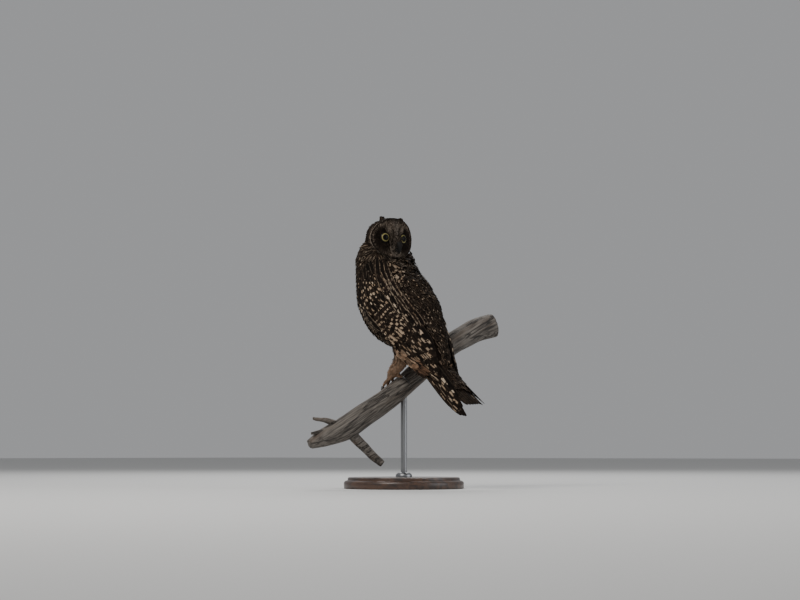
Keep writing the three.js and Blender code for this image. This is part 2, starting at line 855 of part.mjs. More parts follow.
function branchSolid(extra) {
  const random = seeded(7);
  const rows = BRANCH.map((row, i) => [i / (BRANCH.length - 1), row[3]]);
  const lumps = Array.from({ length: 64 }, () => random() - 0.5);
  const sides = 12;
  const ringCount = 22;
  const rings = [];
  for (let i = 0; i <= ringCount; i++) {
    const t = i / ringCount;
    const along = branchCurve.getTangent(t);
    const wide = new THREE.Vector3().crossVectors(along, new THREE.Vector3(0, 0, 1)).normalize();
    const high = new THREE.Vector3().crossVectors(wide, along).normalize();
    const ring = [];
    for (let j = 0; j < sides; j++) {
      const angle = (2 * Math.PI * j) / sides;
      const grip = 1 - bump((t - 0.5) * 10, 1.4);
      const lump = lumps[(i * 5 + j * 11) % lumps.length] * 2.2 * grip;
      const radius = track(rows, t) + lump + extra;
      ring.push(
        branchCurve
          .getPoint(t)
          .addScaledVector(wide, radius * Math.cos(angle))
          .addScaledVector(high, radius * Math.sin(angle)),
      );
    }
    rings.push(ring);
  }
  const limb = (rowsOf) => {
    const curve = curveThrough(rowsOf.map(([x, y, z]) => onBody(x, y, z)));
    const radii = rowsOf.map((row, i) => [i / (rowsOf.length - 1), row[3] + extra]);
    return taperedTube(curve, (t) => [track(radii, t), track(radii, t) * 0.85], 4, 7);
  };
  return joined([ringSolid(rings), limb(BRANCH_STUB), limb(BRANCH_SPLINTER), limb(BRANCH_LOW_TWIG)]);
}

// Each foot grips the branch at one place along it. The frame there: across the branch, and out of its top.
const FEET = {
  left: { side: 1, at: 0.5, heel: [24, 26, -93], shankRadius: 8 },
  right: { side: -1, at: 0.605, heel: [-24, 38, -66], shankRadius: 8 },
};

function gripFrame(foot) {
  const along = branchCurve.getTangent(foot.at).negate();
  const up = new THREE.Vector3(0, 0, 1).addScaledVector(along, -along.z).normalize();
  const forward = new THREE.Vector3().crossVectors(along, up).normalize();
  if (forward.y > 0) forward.negate();
  return { middle: branchCurve.getPoint(foot.at), along, up, forward };
}

// A place on the branch's skin: angle from its top towards the front, shift downhill along it, and height off it.
function onGrip(frame, angleDeg, shift, height) {
  const angle = THREE.MathUtils.degToRad(angleDeg);
  const radius = BRANCH_RADIUS + 0.9 + height;
  return frame.middle
    .clone()
    .addScaledVector(frame.along, shift)
    .addScaledVector(frame.up, radius * Math.cos(angle))
    .addScaledVector(frame.forward, radius * Math.sin(angle));
}

// Each toe: start and end angle round the branch, start and end shift along it, radius at root and tip.
const TOES = [
  { name: "inner", from: 6, to: 64, shift: [4, 4], root: 5.8, tip: 4 },
  { name: "middle", from: 4, to: 66, shift: [-2, -8], root: 6, tip: 4 },
  { name: "outer", from: -2, to: 46, shift: [-6, -19], root: 5.6, tip: 3.8 },
  { name: "hind", from: -8, to: -46, shift: [2, 6], root: 5.2, tip: 3.8 },
];
const CLAW = { length: 15, root: 2.6, tip: 0.45 };

function toeCurve(foot, toe) {
  const frame = gripFrame(foot);
  const points = [0, 0.33, 0.66, 1].map((t) => {
    const shift = mix(toe.shift[0], toe.shift[1], t) * foot.side;
    return onGrip(frame, mix(toe.from, toe.to, t), -shift, mix(toe.root, toe.tip, t));
  });
  return { frame, curve: curveThrough(points) };
}

function toeSolid(foot, toe, extra = 0) {
  const { frame, curve } = toeCurve(foot, toe);
  const shapeAt = (t) => {
    const end = t > 0.9 ? 0.72 : 1;
    const radius = mix(toe.root - 0.9, toe.tip - 0.6, t) * end + extra;
    return [radius, radius * 0.92];
  };
  return taperedTube(curve, shapeAt, 4, 6, frame.along);
}

function clawSolid(foot, toe, extra = 0) {
  const frame = gripFrame(foot);
  const direction = Math.sign(toe.to);
  const arc = THREE.MathUtils.radToDeg(CLAW.length / (BRANCH_RADIUS + 3));
  const start = -toe.shift[1] * foot.side;
  const end = start - (toe.shift[1] - toe.shift[0]) * 0.3 * foot.side;
  const points = [
    onGrip(frame, toe.to - direction * 4, start, toe.tip - 0.4),
    onGrip(frame, toe.to + direction * arc * 0.3, mix(start, end, 0.4), toe.tip + 1.2),
    onGrip(frame, toe.to + direction * arc * 0.65, mix(start, end, 0.7), toe.tip - 0.2),
    onGrip(frame, toe.to + direction * arc, end, 1.4),
  ];
  const shapeAt = (t) => {
    const radius = mix(CLAW.root, CLAW.tip, t ** 0.8) + extra;
    return [radius, radius];
  };
  return taperedTube(curveThrough(points), shapeAt, 4, 6, frame.along);
}

function footSolid(foot, extra = 0) {
  const frame = gripFrame(foot);
  const pad = new THREE.SphereGeometry(1, 8, 5);
  pad.scale(9 + extra, 9 + extra, 7 + extra);
  const pieces = [solidOf(pad).translate(onGrip(frame, 2, 0, 8).toArray())];
  TOES.forEach((toe) => pieces.push(toeSolid(foot, toe, extra)));
  return joined(pieces);
}

function shankCurve(foot) {
  const frame = gripFrame(foot);
  const heel = onBody(...foot.heel);
  const ball = onGrip(frame, 2, 0, 9);
  const middle = heel.clone().lerp(ball, 0.5).add(new THREE.Vector3(0, 1.5, 0));
  return curveThrough([heel, middle, ball]);
}

function shankSolid(foot, extra = 0) {
  const shapeAt = (t) => {
    const radius = mix(foot.shankRadius + 2.5, foot.shankRadius - 0.5, t) + extra;
    return [radius, radius * 1.05];
  };
  return taperedTube(shankCurve(foot), shapeAt, 4, 10);
}

function thighSolid(foot, extra = 0) {
  const heel = onBody(...foot.heel);
  const hip = onBody(foot.side * 24, 19, foot.side > 0 ? -54 : -38);
  const curve = curveThrough([hip, hip.clone().lerp(heel, 0.55).add(new THREE.Vector3(0, -2, -2)), heel]);
  const shapeAt = (t) => {
    const radius = track([[0, 12], [0.5, 15], [0.85, 13.5], [1, 10]], t) + extra;
    return [radius, radius * 1.1];
  };
  return taperedTube(curve, shapeAt, 6, 12);
}

// The stand: a turned disc and one rod up to the branch.
const BASE_RADIUS = 95;
const BASE_THICK = 18;
const ROD_RADIUS = 5;
const COLLAR_RADIUS = 13;
const COLLAR_THICK = 7;

function turned(profile, segments) {
  const lathe = new THREE.LatheGeometry(profile.map(([r, z]) => new THREE.Vector2(r, z)), segments);
  lathe.rotateX(Math.PI / 2);
  return solidOf(lathe);
}

function standSolids() {
  const base = turned(
    [
      [0, 0],
      [BASE_RADIUS - 2, 0],
      [BASE_RADIUS, 2],
      [BASE_RADIUS, BASE_THICK * 0.5],
      [BASE_RADIUS - 2.5, BASE_THICK * 0.68],
      [BASE_RADIUS - 5.5, BASE_THICK * 0.76],
      [BASE_RADIUS - 6.5, BASE_THICK - 1.2],
      [BASE_RADIUS - 8, BASE_THICK],
      [0, BASE_THICK],
    ],
    28,
  );
  const foot = BASE_THICK + GAP;
  const collar = turned(
    [
      [ROD_RADIUS + GAP, foot],
      [COLLAR_RADIUS, foot],
      [COLLAR_RADIUS, foot + COLLAR_THICK * 0.5],
      [COLLAR_RADIUS - 4, foot + COLLAR_THICK],
      [ROD_RADIUS + GAP, foot + COLLAR_THICK],
      [ROD_RADIUS + GAP, foot],
    ],
    14,
  );
  const rodTop = branchCurve.getPoint(0.5).z;
  const rod = turned([[0, foot], [ROD_RADIUS, foot], [ROD_RADIUS, rodTop], [0, rodTop]], 16);
  return { stand_base: base, stand_collar: collar, stand_rod: rod };
}

// Materials, from the photograph's colours
const material = (color, roughness, metalness = 0) =>
  new THREE.MeshStandardMaterial({ color, roughness, metalness });
const PLUMAGE = material(0x3a2f26, 0.9);
const FACE = material(0x5c5044, 0.9);
const LEG = material(0x8a6246, 0.9);
const HORN = material(0x17161a, 0.35);
const EYE = material(0xc9b23c, 0.15);
const WOOD = material(0x6d645c, 0.85);
const BASE = material(0x2d211a, 0.5);
const STEEL = material(0x54565a, 0.35, 0.9);

const root = new THREE.Group();

// Turns a solid into a named mesh.
function addNode(name, solid, look) {
  const { vertProperties, triVerts, numProp } = largest(solid).getMesh();
  const place = new Float32Array((vertProperties.length / numProp) * 3);
  for (let i = 0; i < place.length / 3; i++) {
    place.set(vertProperties.subarray(i * numProp, i * numProp + 3), i * 3);
  }
  const geometry = new THREE.BufferGeometry();
  geometry.setAttribute("position", new THREE.BufferAttribute(place, 3));
  geometry.setIndex(new THREE.BufferAttribute(triVerts, 1));
  geometry.computeVertexNormals();
  const mesh = new THREE.Mesh(geometry, look);
  mesh.name = name;
  root.add(mesh);
}

// Where the neck meets the torso
const NECK_CUT = 0.17;
const neckAt = bodyAxis.getPoint(NECK_CUT);
const neckAlong = bodyAxis.getTangent(NECK_CUT).negate();
const branch = branchSolid(0);
const branchClear = branchSolid(GAP);
const legsClear = joined(
  Object.values(FEET).flatMap((foot) => [
    thighSolid(foot, GAP),
    shankSolid(foot, GAP),
    footSolid(foot, GAP),
    ...TOES.map((toe) => clawSolid(foot, toe, GAP)),
  ]),
);
const headWhole = joined([headForm(0), eyeLid(1), eyeLid(-1)]);
const billClear = joined([billHalf(BILL_UPPER, GAP), billHalf(BILL_LOWER, GAP)]);
const headClear = onHead(joined([headForm(GAP), billClear]));
const charts = {
  left: new WingChart(1, WING_LINES.left, WING_LEANS.left),
  right: new WingChart(-1, WING_LINES.right, WING_LEANS.right),
};
const bedsFor = (extra) => joined(Object.values(charts).map((chart) => wingBed(chart, extra)));
const beds = bedsFor(GAP);
const flankClear = bodySolid(GAP).subtract(bedsFor(0));
const torsoWhole = bodySolid(0).subtract(beds).subtract(branchClear).subtract(legsClear);
const torsoClear = bodySolid(GAP);

addNode("torso", torsoWhole.subtract(blockBeyond(neckAt, neckAlong)), PLUMAGE);
const neckFoot = neckAt.clone().addScaledVector(neckAlong, GAP);
addNode("neck", torsoWhole.intersect(blockBeyond(neckFoot, neckAlong)).subtract(headClear), PLUMAGE);

const sockets = joined([eyeBall(1, GAP), eyeBall(-1, GAP), billClear]);
addNode("head", onHead(headWhole.subtract(sockets)), FACE);
addNode("bill_upper", onHead(upperBill()), HORN);
addNode("bill_lower", onHead(billHalf(BILL_LOWER, 0).subtract(billHalf(BILL_UPPER, GAP))), HORN);
for (const [name, side] of [["left", 1], ["right", -1]]) {
  addNode(`eye_${name}`, onHead(eyeBall(side, 0).subtract(billHalf(BILL_UPPER, GAP))), EYE);
  addNode(`ear_tuft_${name}`, onHead(earTuft(side).subtract(headForm(GAP))), PLUMAGE);
}

const tail = featheredTail().subtract(torsoClear);
const tailClear = plainTail(GAP);
addNode("tail", tail, PLUMAGE);

for (const [name, foot] of Object.entries(FEET)) {
  const thighClear = thighSolid(foot, GAP);
  const thigh = thighSolid(foot)
    .subtract(beds)
    .subtract(branchClear)
    .subtract(tailClear)
    .subtract(footSolid(foot, GAP));
  addNode(`thigh_${name}`, thigh, LEG);
  const shank = shankSolid(foot).subtract(thighClear).subtract(branchClear);
  addNode(`shank_${name}`, shank, LEG);
  addNode(`foot_${name}`, footSolid(foot).subtract(shankSolid(foot, GAP)).subtract(branchClear), LEG);
  TOES.forEach((toe) => {
    const claw = clawSolid(foot, toe).subtract(toeSolid(foot, toe, GAP)).subtract(branchClear);
    addNode(`claw_${name}_${toe.name}`, claw, HORN);
  });
}

for (const [name, chart] of Object.entries(charts)) {
  const wing = featheredWing(chart)
    .subtract(flankClear)
    .subtract(tailClear)
    .subtract(headClear)
    .subtract(branchClear);
  addNode(`wing_${name}`, wing, PLUMAGE);
}

addNode("perch_branch", branch, WOOD);
const stand = standSolids();
addNode("stand_base", stand.stand_base, BASE);
addNode("stand_collar", stand.stand_collar, STEEL);
addNode("stand_rod", stand.stand_rod.subtract(branchClear), STEEL);

export default root;
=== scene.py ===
# %% [markdown]
# This script dresses a life-size model of a short-eared owl that looks back over its shoulder from a
# piece of dead branch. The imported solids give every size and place. Over them comes one skin with its
# feathers, two folded wings, a tail, eyes, a bill, claws, the weathered branch and a small stand.
# The feathers are real mesh, laid from root to tip along the bird, because that is what gives an owl
# its soft outline from every side.

# %% The frame
import math

import bmesh
import bpy
import numpy as np
from mathutils import Matrix, Vector, noise
from mathutils.bvhtree import BVHTree


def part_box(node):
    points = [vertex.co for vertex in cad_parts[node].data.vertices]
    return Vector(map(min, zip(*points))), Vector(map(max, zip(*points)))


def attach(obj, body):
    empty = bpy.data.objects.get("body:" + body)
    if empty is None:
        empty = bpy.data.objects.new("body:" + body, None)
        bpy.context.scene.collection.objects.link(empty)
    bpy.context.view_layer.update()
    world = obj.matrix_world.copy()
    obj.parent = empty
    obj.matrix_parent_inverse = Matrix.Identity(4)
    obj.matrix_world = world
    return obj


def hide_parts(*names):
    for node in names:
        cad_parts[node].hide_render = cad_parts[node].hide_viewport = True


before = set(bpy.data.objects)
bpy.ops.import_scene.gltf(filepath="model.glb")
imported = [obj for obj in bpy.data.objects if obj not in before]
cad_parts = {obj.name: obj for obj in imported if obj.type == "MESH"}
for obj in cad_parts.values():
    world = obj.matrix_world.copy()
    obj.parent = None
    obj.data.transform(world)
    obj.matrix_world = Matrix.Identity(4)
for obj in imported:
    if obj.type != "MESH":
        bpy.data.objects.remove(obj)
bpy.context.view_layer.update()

MM = 0.001

# %% [markdown]
# The camera comes first, so that each piece can be set against the photograph as it is made. The
# picture looks up a little at the bird's left side and back, from about three metres away. A long
# lens far off and a short lens close by frame the same width, but only the long one keeps the head
# and the feet at the same scale, as the picture does.

# %% The camera
TARGET = Vector((0.0, -0.008, 0.300))
AZIMUTH, ELEVATION, DISTANCE = math.radians(130), math.radians(-5), 2.8
toward = Vector((
    math.sin(AZIMUTH) * math.cos(ELEVATION),
    -math.cos(AZIMUTH) * math.cos(ELEVATION),
    math.sin(ELEVATION),
))
camera_data = bpy.data.cameras.new("camera")
camera_data.sensor_width = 36
camera_data.lens = 78.75
camera_data.clip_end = 100
camera = bpy.data.objects.new("camera", camera_data)
camera.location = TARGET + toward * DISTANCE
camera.rotation_euler = toward.to_track_quat("Z", "Y").to_euler()
bpy.context.collection.objects.link(camera)
bpy.context.scene.camera = camera
print("camera height", round(camera.location.z, 3))

# %% [markdown]
# Curves carry most of this bird: the lean of the body, the bow of each wing, the tail, the toes and
# the branch. Each is a smooth line through a few points. A Bezier curve would need handles for each
# point, so the line is the kind that passes through its points by itself, and it is measured along
# its own length.

# %% Lines through points
BODY_AT = np.array((0.0, -8.0, 300.0))


def on_body(points):
    """Points of the body's drawing, in mm, set in the model's frame."""
    return np.array(points, float) + BODY_AT


def unit(vectors):
    return vectors / np.maximum(np.linalg.norm(vectors, axis=-1, keepdims=True), 1e-9)


def between(rows, value, column=1):
    rows = np.array(rows, float)
    return np.interp(value, rows[:, 0], rows[:, column])


class Line:
    """A smooth line through points, read by length from its start or by share of its points."""

    def __init__(self, points, steps=60):
        points = np.array(points, float)
        ends = np.vstack([2 * points[0] - points[1], points, 2 * points[-1] - points[-2]])
        pieces = []
        for a, b, c, d in zip(ends, ends[1:], ends[2:], ends[3:]):
            gaps = [max(1e-4, np.linalg.norm(q - p) ** 0.5) for p, q in ((a, b), (b, c), (c, d))]
            lead = ((b - a) / gaps[0] - (c - a) / (gaps[0] + gaps[1]) + (c - b) / gaps[1]) * gaps[1]
            tail = ((c - b) / gaps[1] - (d - b) / (gaps[1] + gaps[2]) + (d - c) / gaps[2]) * gaps[1]
            t = np.linspace(0, 1, steps, endpoint=False)[:, None]
            bend = -3 * b + 3 * c - 2 * lead - tail
            twist = 2 * b - 2 * c + lead + tail
            pieces.append(b + lead * t + bend * t**2 + twist * t**3)
        self.points = np.vstack(pieces + [points[-1:]])
        self.steps = np.concatenate([[0], np.cumsum(np.linalg.norm(np.diff(self.points, axis=0), axis=1))])
        self.length = self.steps[-1]
        self.shares = np.linspace(0, 1, len(self.points))
        self.ways = unit(np.gradient(self.points, self.steps, axis=0))

    def at(self, length):
        return np.stack([np.interp(length, self.steps, self.points[:, k]) for k in range(3)], -1)

    def along(self, length):
        return unit(np.stack([np.interp(length, self.steps, self.ways[:, k]) for k in range(3)], -1))

    def length_at(self, share):
        return np.interp(share, self.shares, self.steps)


# %% [markdown]
# The body is a row of ovals square to its leaning axis. The head sits on top, turned almost right
# round. Both are drawn from the same named sizes as the solids, so that whatever is set on them
# meets the solids too.

# %% The body and the head in numbers
BODY_SECTIONS = [
    (-20.5, 84, 40.5, 42.5),
    (-29, 65, 48, 49.5),
    (-28, 42, 51.5, 55),
    (-18, 14, 61, 63),
    (1, -12, 64, 67),
    (24, -35, 57, 64),
    (44, -57, 44, 56),
    (65, -77, 32, 44),
    (84, -97, 20, 32),
    (98, -114, 9, 17),
]
body_line = Line(on_body([(0, y, z) for y, z, _, _ in BODY_SECTIONS]))
HEAD_TURN = math.radians(166)
HEAD_MIDDLE = on_body((0, -29, 99))
FACE_HALF_WIDTH, FACE_HALF_HEIGHT, FACE_DEPTH, FACE_SWEEP = 41, 32.5, 27.5, 17
EYE_RADIUS, EYE_SIDE, EYE_HEIGHT, EYE_FORWARD, EYE_OPENING = 9.8, 16.3, 0.5, 15.5, 7.7
head_turned = np.array((
    (math.cos(HEAD_TURN), -math.sin(HEAD_TURN), 0),
    (math.sin(HEAD_TURN), math.cos(HEAD_TURN), 0),
    (0, 0, 1),
))


def from_head(points):
    """Points of the head's own drawing, which faces -Y, set in the model's frame."""
    return np.asarray(points, float) @ head_turned.T + HEAD_MIDDLE


def to_head(points):
    return (np.asarray(points, float) - HEAD_MIDDLE) @ head_turned


def bump_of(x, width):
    return np.exp(-((np.asarray(x) / width) ** 2))


def face_forward(x, z):
    reach = np.hypot(x / FACE_HALF_WIDTH, z / FACE_HALF_HEIGHT)
    rim = 2.2 * bump_of(reach - 0.94, 0.1)
    sweep = FACE_SWEEP * np.abs(x / FACE_HALF_WIDTH) ** 2.2 + 5 * (z / FACE_HALF_HEIGHT) ** 2
    near = np.hypot(np.abs(x) - EYE_SIDE, z - EYE_HEIGHT)
    dish = 3.4 * bump_of(near, 13)
    ridge = 4 * bump_of(x, 6) * bump_of(z + 4, 22)
    return FACE_DEPTH + rim - sweep - dish + ridge


def body_place(points):
    """For each point: share along the body, and how far it faces the back, from -1 to 1."""
    middles = body_line.points[::6]
    shares = body_line.shares[::6]
    ways = body_line.ways[::6]
    nearest = np.argmin(((points[:, None] - middles[None]) ** 2).sum(-1), axis=1)
    off = points - middles[nearest]
    back = np.stack([0 * ways[nearest, 0], -ways[nearest, 2], ways[nearest, 1]], -1)
    back = unit(back)
    lift = (off * back).sum(-1)
    return shares[nearest], lift / np.maximum(np.hypot(lift, off[:, 0]), 1e-6), off[:, 0]


# %% [markdown]
# A folded wing lies on the bird's side like a leaf on a ball. Its feathers are easiest to lay out on
# a flat chart, p along the wing, q across it and h off it, which is then bent round the body. The
# chart below is the solids' own chart.

# %% The wing's chart and the tail's chart
WING_LINES = {
    "left": [
        (47, -33, 61), (58, -22, 36), (65, -9, 11), (67, 7, -14), (64, 27, -40), (57, 48, -66),
        (48, 70, -93), (42.5, 93, -120), (38.5, 114, -146), (36, 134, -169), (34, 157, -189),
    ],
    "right": [
        (46, -37, 60), (57, -26, 35), (64, -13, 10), (66, 3, -14), (63, 25, -39), (56, 50, -62),
        (47, 75, -83), (36, 91, -104), (28, 107, -126), (21, 136, -145), (16, 158, -159),
    ],
}
WING_LEANS = {
    "left": [
        (0, 1, -0.25, 0.1, 50), (60, 1, 0.03, 0.06, 58), (150, 0.96, 0.16, 0.16, 58),
        (230, 0.93, 0.2, 0.22, 62), (319, 0.93, 0.2, 0.22, 80),
    ],
    "right": [
        (0, 1, -0.25, 0.1, 50), (60, 1, 0.03, 0.06, 58), (150, 0.93, 0.2, 0.2, 56),
        (215, 0.72, 0.42, 0.5, 60), (315, 0.42, 0.55, 0.7, 80),
    ],
}
WING_OUTLINE = [
    (0, -8, 12), (10, -30, 28), (25, -48, 38), (52, -57, 44), (84, -47, 48), (112, -35, 50), (140, -31, 50),
    (168, -23, 47), (192, -15, 43), (220, -9, 37), (250, -11, 30), (275, -12, 24), (298, -9, 15),
    (319, -2, 5),
]
TAIL_LINE = [(66, -94), (84, -108), (108, -127), (134, -148), (161, -169)]
TAIL_ARCH = 48


class WingChart:
    def __init__(self, name, side):
        self.side, self.lean = side, WING_LEANS[name]
        self.line = Line(on_body([(side * x, y, z) for x, y, z in WING_LINES[name]]))

    def at(self, p, q, h):
        p, q, h = np.broadcast_arrays(np.asarray(p, float), q, h)
        held = np.clip(p, 0, self.line.length)
        along = self.line.along(held)
        leans = [between(self.lean, p, column) for column in (1, 2, 3)]
        out = np.stack([self.side * leans[0], leans[1], leans[2]], -1)
        out = unit(out - (out * along).sum(-1, keepdims=True) * along)
        up = np.cross(out, along) * self.side
        bend = between(self.lean, p, 4)
        angle = q / bend
        return (
            self.line.at(held)
            + along * (p - held)[..., None]
            + up * ((bend + h) * np.sin(angle))[..., None]
            + out * ((bend + h) * np.cos(angle) - bend)[..., None]
        )


class TailChart:
    def __init__(self):
        self.line = Line(on_body([(0, y, z) for y, z in TAIL_LINE]))

    def at(self, p, q, h):
        p, q, h = np.broadcast_arrays(np.asarray(p, float), q, h)
        held = np.clip(p, 0, self.line.length)
        along = self.line.along(held)
        up = unit(np.stack([0 * along[..., 0], -along[..., 2], along[..., 1]], -1))
        across = np.zeros_like(along)
        across[..., 0] = q
        rise = h - q * q / (2 * TAIL_ARCH)
        return self.line.at(held) + along * (p - held)[..., None] + up * rise[..., None] + across


wing_charts = {"left": WingChart("left", 1), "right": WingChart("right", -1)}
tail_chart = TailChart()
print("wing length mm", [round(chart.line.length) for chart in wing_charts.values()])

# %% [markdown]
# Materials are built as small sums. The helper below wraps one value of a material, so that a
# pattern can be written as an ordinary expression, and each + or * in it adds its own Math node.

# %% Writing materials as expressions
class Value:
    """One number that varies over a surface."""

    def __init__(self, finish, socket):
        self.finish, self.socket = finish, socket

    def math(self, operation, *values):
        return self.finish.node("ShaderNodeMath", {"operation": operation}, dict(enumerate(values)))

    def __add__(self, other):
        return self.math("ADD", self, other)

    __radd__ = __add__

    def __sub__(self, other):
        return self.math("SUBTRACT", self, other)

    def __rsub__(self, other):
        return self.math("SUBTRACT", other, self)

    def __mul__(self, other):
        return self.math("MULTIPLY", self, other)

    __rmul__ = __mul__

    def __truediv__(self, other):
        return self.math("DIVIDE", self, other)

    def size(self):
        return self.math("ABSOLUTE", self)

    def wave(self):
        return self.math("SINE", self)

    def most(self, other):
        return self.math("MAXIMUM", self, other)

    def fraction(self):
        return self.math("FRACT", self)

    def rise(self, low, high):
        """0 below low, 1 above high, smooth between."""
        return self.finish.node(
            "ShaderNodeMapRange",
            {"interpolation_type": "SMOOTHSTEP", "clamp": True},
            {"Value": self, "From Min": low, "From Max": high, "To Min": 0.0, "To Max": 1.0},
        )

    def fall(self, low, high):
        return 1 - self.rise(low, high)


class Finish:
    """One material."""

    def __init__(self, name):
        self.material = bpy.data.materials.new(name)
        self.material.use_nodes = True
        self.tree = self.material.node_tree
        self.shader = next(n for n in self.tree.nodes if n.type == "BSDF_PRINCIPLED")

    def plug(self, socket, value):
        if isinstance(value, Value):
            self.tree.links.new(value.socket, socket)
        elif isinstance(value, (tuple, list)) and len(value) == 3 and socket.type == "RGBA":
            socket.default_value = (*value, 1.0)
        else:
            socket.default_value = value

    def node(self, kind, settings=None, values=None, out=0):
        node = self.tree.nodes.new(kind)
        for key, value in (settings or {}).items():
            setattr(node, key, value)
        for key, value in (values or {}).items():
            self.plug(node.inputs[key], value)
        return Value(self, node.outputs[out])

    def place(self):
        return self.node("ShaderNodeTexCoord", out="Object")

    def vector(self, operation, a, b=None, out=0):
        values = {0: a} if b is None else {0: a, 1: b}
        return self.node("ShaderNodeVectorMath", {"operation": operation}, values, out=out)

    def noise(self, scale, detail=3.0, rough=0.5, where=None, twist=0.0):
        return self.node(
            "ShaderNodeTexNoise",
            values={
                "Vector": where or self.place(),
                "Scale": scale,
                "Detail": detail,
                "Roughness": rough,
                "Distortion": twist,
            },
        )

    def mark(self, name):
        return self.node("ShaderNodeAttribute", {"attribute_name": name}, out="Fac")

    def blend(self, low, high, share):
        return self.node(
            "ShaderNodeMix",
            {"data_type": "RGBA", "clamp_factor": True},
            {0: share, 6: low, 7: high},
            out=2,
        )

    def bump(self, height, strength, distance):
        values = {"Height": height, "Strength": strength, "Distance": distance}
        return self.node("ShaderNodeBump", values=values)

    def done(self, **sockets):
        for name, value in sockets.items():
            self.plug(self.shader.inputs[name.replace("_", " ").title().replace("Ior", "IOR")], value)
        return self.material


# %% [markdown]
# Every feather carries its own small drawing. Its place across and along the vane comes with the
# mesh, and so do a few marks, such as how pale it is, how strong its streak and how big its spot.
# One material then paints all of them. Painting each region apart would show borders, and real
# tracts of feathers shade into each other.

# %% The plumage
MARKS = ("pale", "warm", "streak", "spot", "bars", "edge", "grey", "chance")


def plumage_colours(finish):
    """The colour of a feather at each place, from its marks."""
    marks = {name: finish.mark(name) for name in MARKS}
    chance = marks["chance"]
    second = (chance * 7.13).fraction()
    third = (chance * 17.7).fraction()
    across = finish.mark("across")
    along = finish.mark("along")
    grain = finish.noise(900, 2, 0.6)
    blot = finish.noise(330, 1, 0.5)
    patch = finish.noise(120, 2, 0.5)
    wobble = (grain - 0.5) * 0.3
    drift = blot - 0.5
    dark = finish.blend((0.0035, 0.0024, 0.0018), (0.0135, 0.0088, 0.006), second)
    dark = finish.blend(dark, (0.036, 0.022, 0.0155), patch.rise(0.5, 0.8) * 0.45)
    buff = finish.blend((0.27, 0.195, 0.125), (0.52, 0.43, 0.32), third)
    buff = finish.blend(buff, (0.33, 0.185, 0.11), marks["warm"])
    buff = finish.blend(buff, (0.26, 0.225, 0.195), marks["grey"])
    ground = finish.blend(dark, buff, (marks["pale"] + (grain - 0.5) * 0.22).rise(0.02, 0.98))
    large = 0.45 + 0.6 * marks["spot"]
    spot_u = (across + 0.32 * third - 0.02 + drift * 0.9) / (large * (0.42 + 0.26 * second))
    spot_v = (along - 0.78 - 0.1 * third + drift * 0.1 + wobble * 0.12) / (large * (0.1 + 0.07 * second))
    spot = (spot_u * spot_u + spot_v * spot_v).fall(0.4, 1.0) * marks["spot"].rise(0.02, 0.5)
    spot = spot * chance.rise(0.3, 0.33) * across.size().fall(0.62, 0.86)
    turn = (along * (5.0 + 2.0 * second) + chance * 3.0) * 6.2832 + drift * 4.0
    web = (0.02 - across).rise(0.0, 0.2) * across.size().fall(0.66, 0.88)
    bars = turn.wave().rise(0.2, 0.7) * marks["bars"] * web * patch.rise(0.36, 0.5)
    bars = bars * along.fall(0.92, 0.98) * along.rise(0.0, 0.2)
    broken = 0.25 + 0.75 * blot.rise(0.42, 0.56)
    edge = (across.size() + wobble * 0.5).rise(0.62, 0.9) * marks["edge"] * broken
    streak = (across.size() + wobble * 0.35).fall(0.16, 0.44) * marks["streak"]
    colour = finish.blend(ground, buff, bars)
    colour = finish.blend(colour, buff, edge)
    colour = finish.blend(colour, dark, streak)
    colour = finish.blend(colour, buff, spot)
    shaft = across.size().fall(0.03, 0.09) * 0.5
    return finish.blend(colour, (0.008, 0.006, 0.005), shaft), across, along, grain


def plumage_finish(name, barbs):
    finish = Finish(name)
    colour, across, along, grain = plumage_colours(finish)
    rib = (along * barbs - across.size() * barbs * 0.18).fraction()
    height = rib * 0.5 + grain * 0.5
    normal = finish.bump(height, 0.35, 0.0004)
    finish.shader.inputs["Specular IOR Level"].default_value = 0.07
    return finish.done(base_color=colour, roughness=0.78, normal=normal)


plumage = plumage_finish("plumage", 14)
flight_plumage = plumage_finish("flight_plumage", 60)

# %% [markdown]
# A feather is a thin sheet a few faces long, narrow at the root, full in the middle and round at the
# tip. Thousands of them are made at once from arrays, with one mesh for each tract, because a loop of
# single objects would take minutes. Each sheet also gets its patch on a map of the tract, so that its
# colours can be baked.

# %% Making sheets of feathers
BODY_SHAPE = [(0.0, 0.42), (0.3, 0.86), (0.58, 1.0), (0.8, 0.86), (0.94, 0.52), (1.0, 0.16)]
SMALL_SHAPE = [(0.0, 0.5), (0.4, 1.0), (0.78, 0.78), (1.0, 0.16)]
COVERT_SHAPE = [
    (0.0, 0.5), (0.2, 0.85), (0.4, 0.98), (0.6, 1.0), (0.76, 0.93), (0.88, 0.76), (0.96, 0.5), (1.0, 0.18),
]
FLIGHT_SHAPE = [
    (0.0, 0.45), (0.1, 0.7), (0.2, 0.85), (0.32, 0.95), (0.45, 1.0), (0.58, 1.0), (0.7, 0.97), (0.8, 0.9),
    (0.88, 0.78), (0.94, 0.6), (0.98, 0.38), (1.0, 0.16),
]
SMALL_COLUMNS = (-1, 0, 1)
BODY_COLUMNS = (-1, -0.5, 0, 0.5, 1)
FLIGHT_COLUMNS = (-1, -0.66, -0.33, 0, 0.33, 0.66, 1)
TUFT_PATCH = (0.003, 0.003)


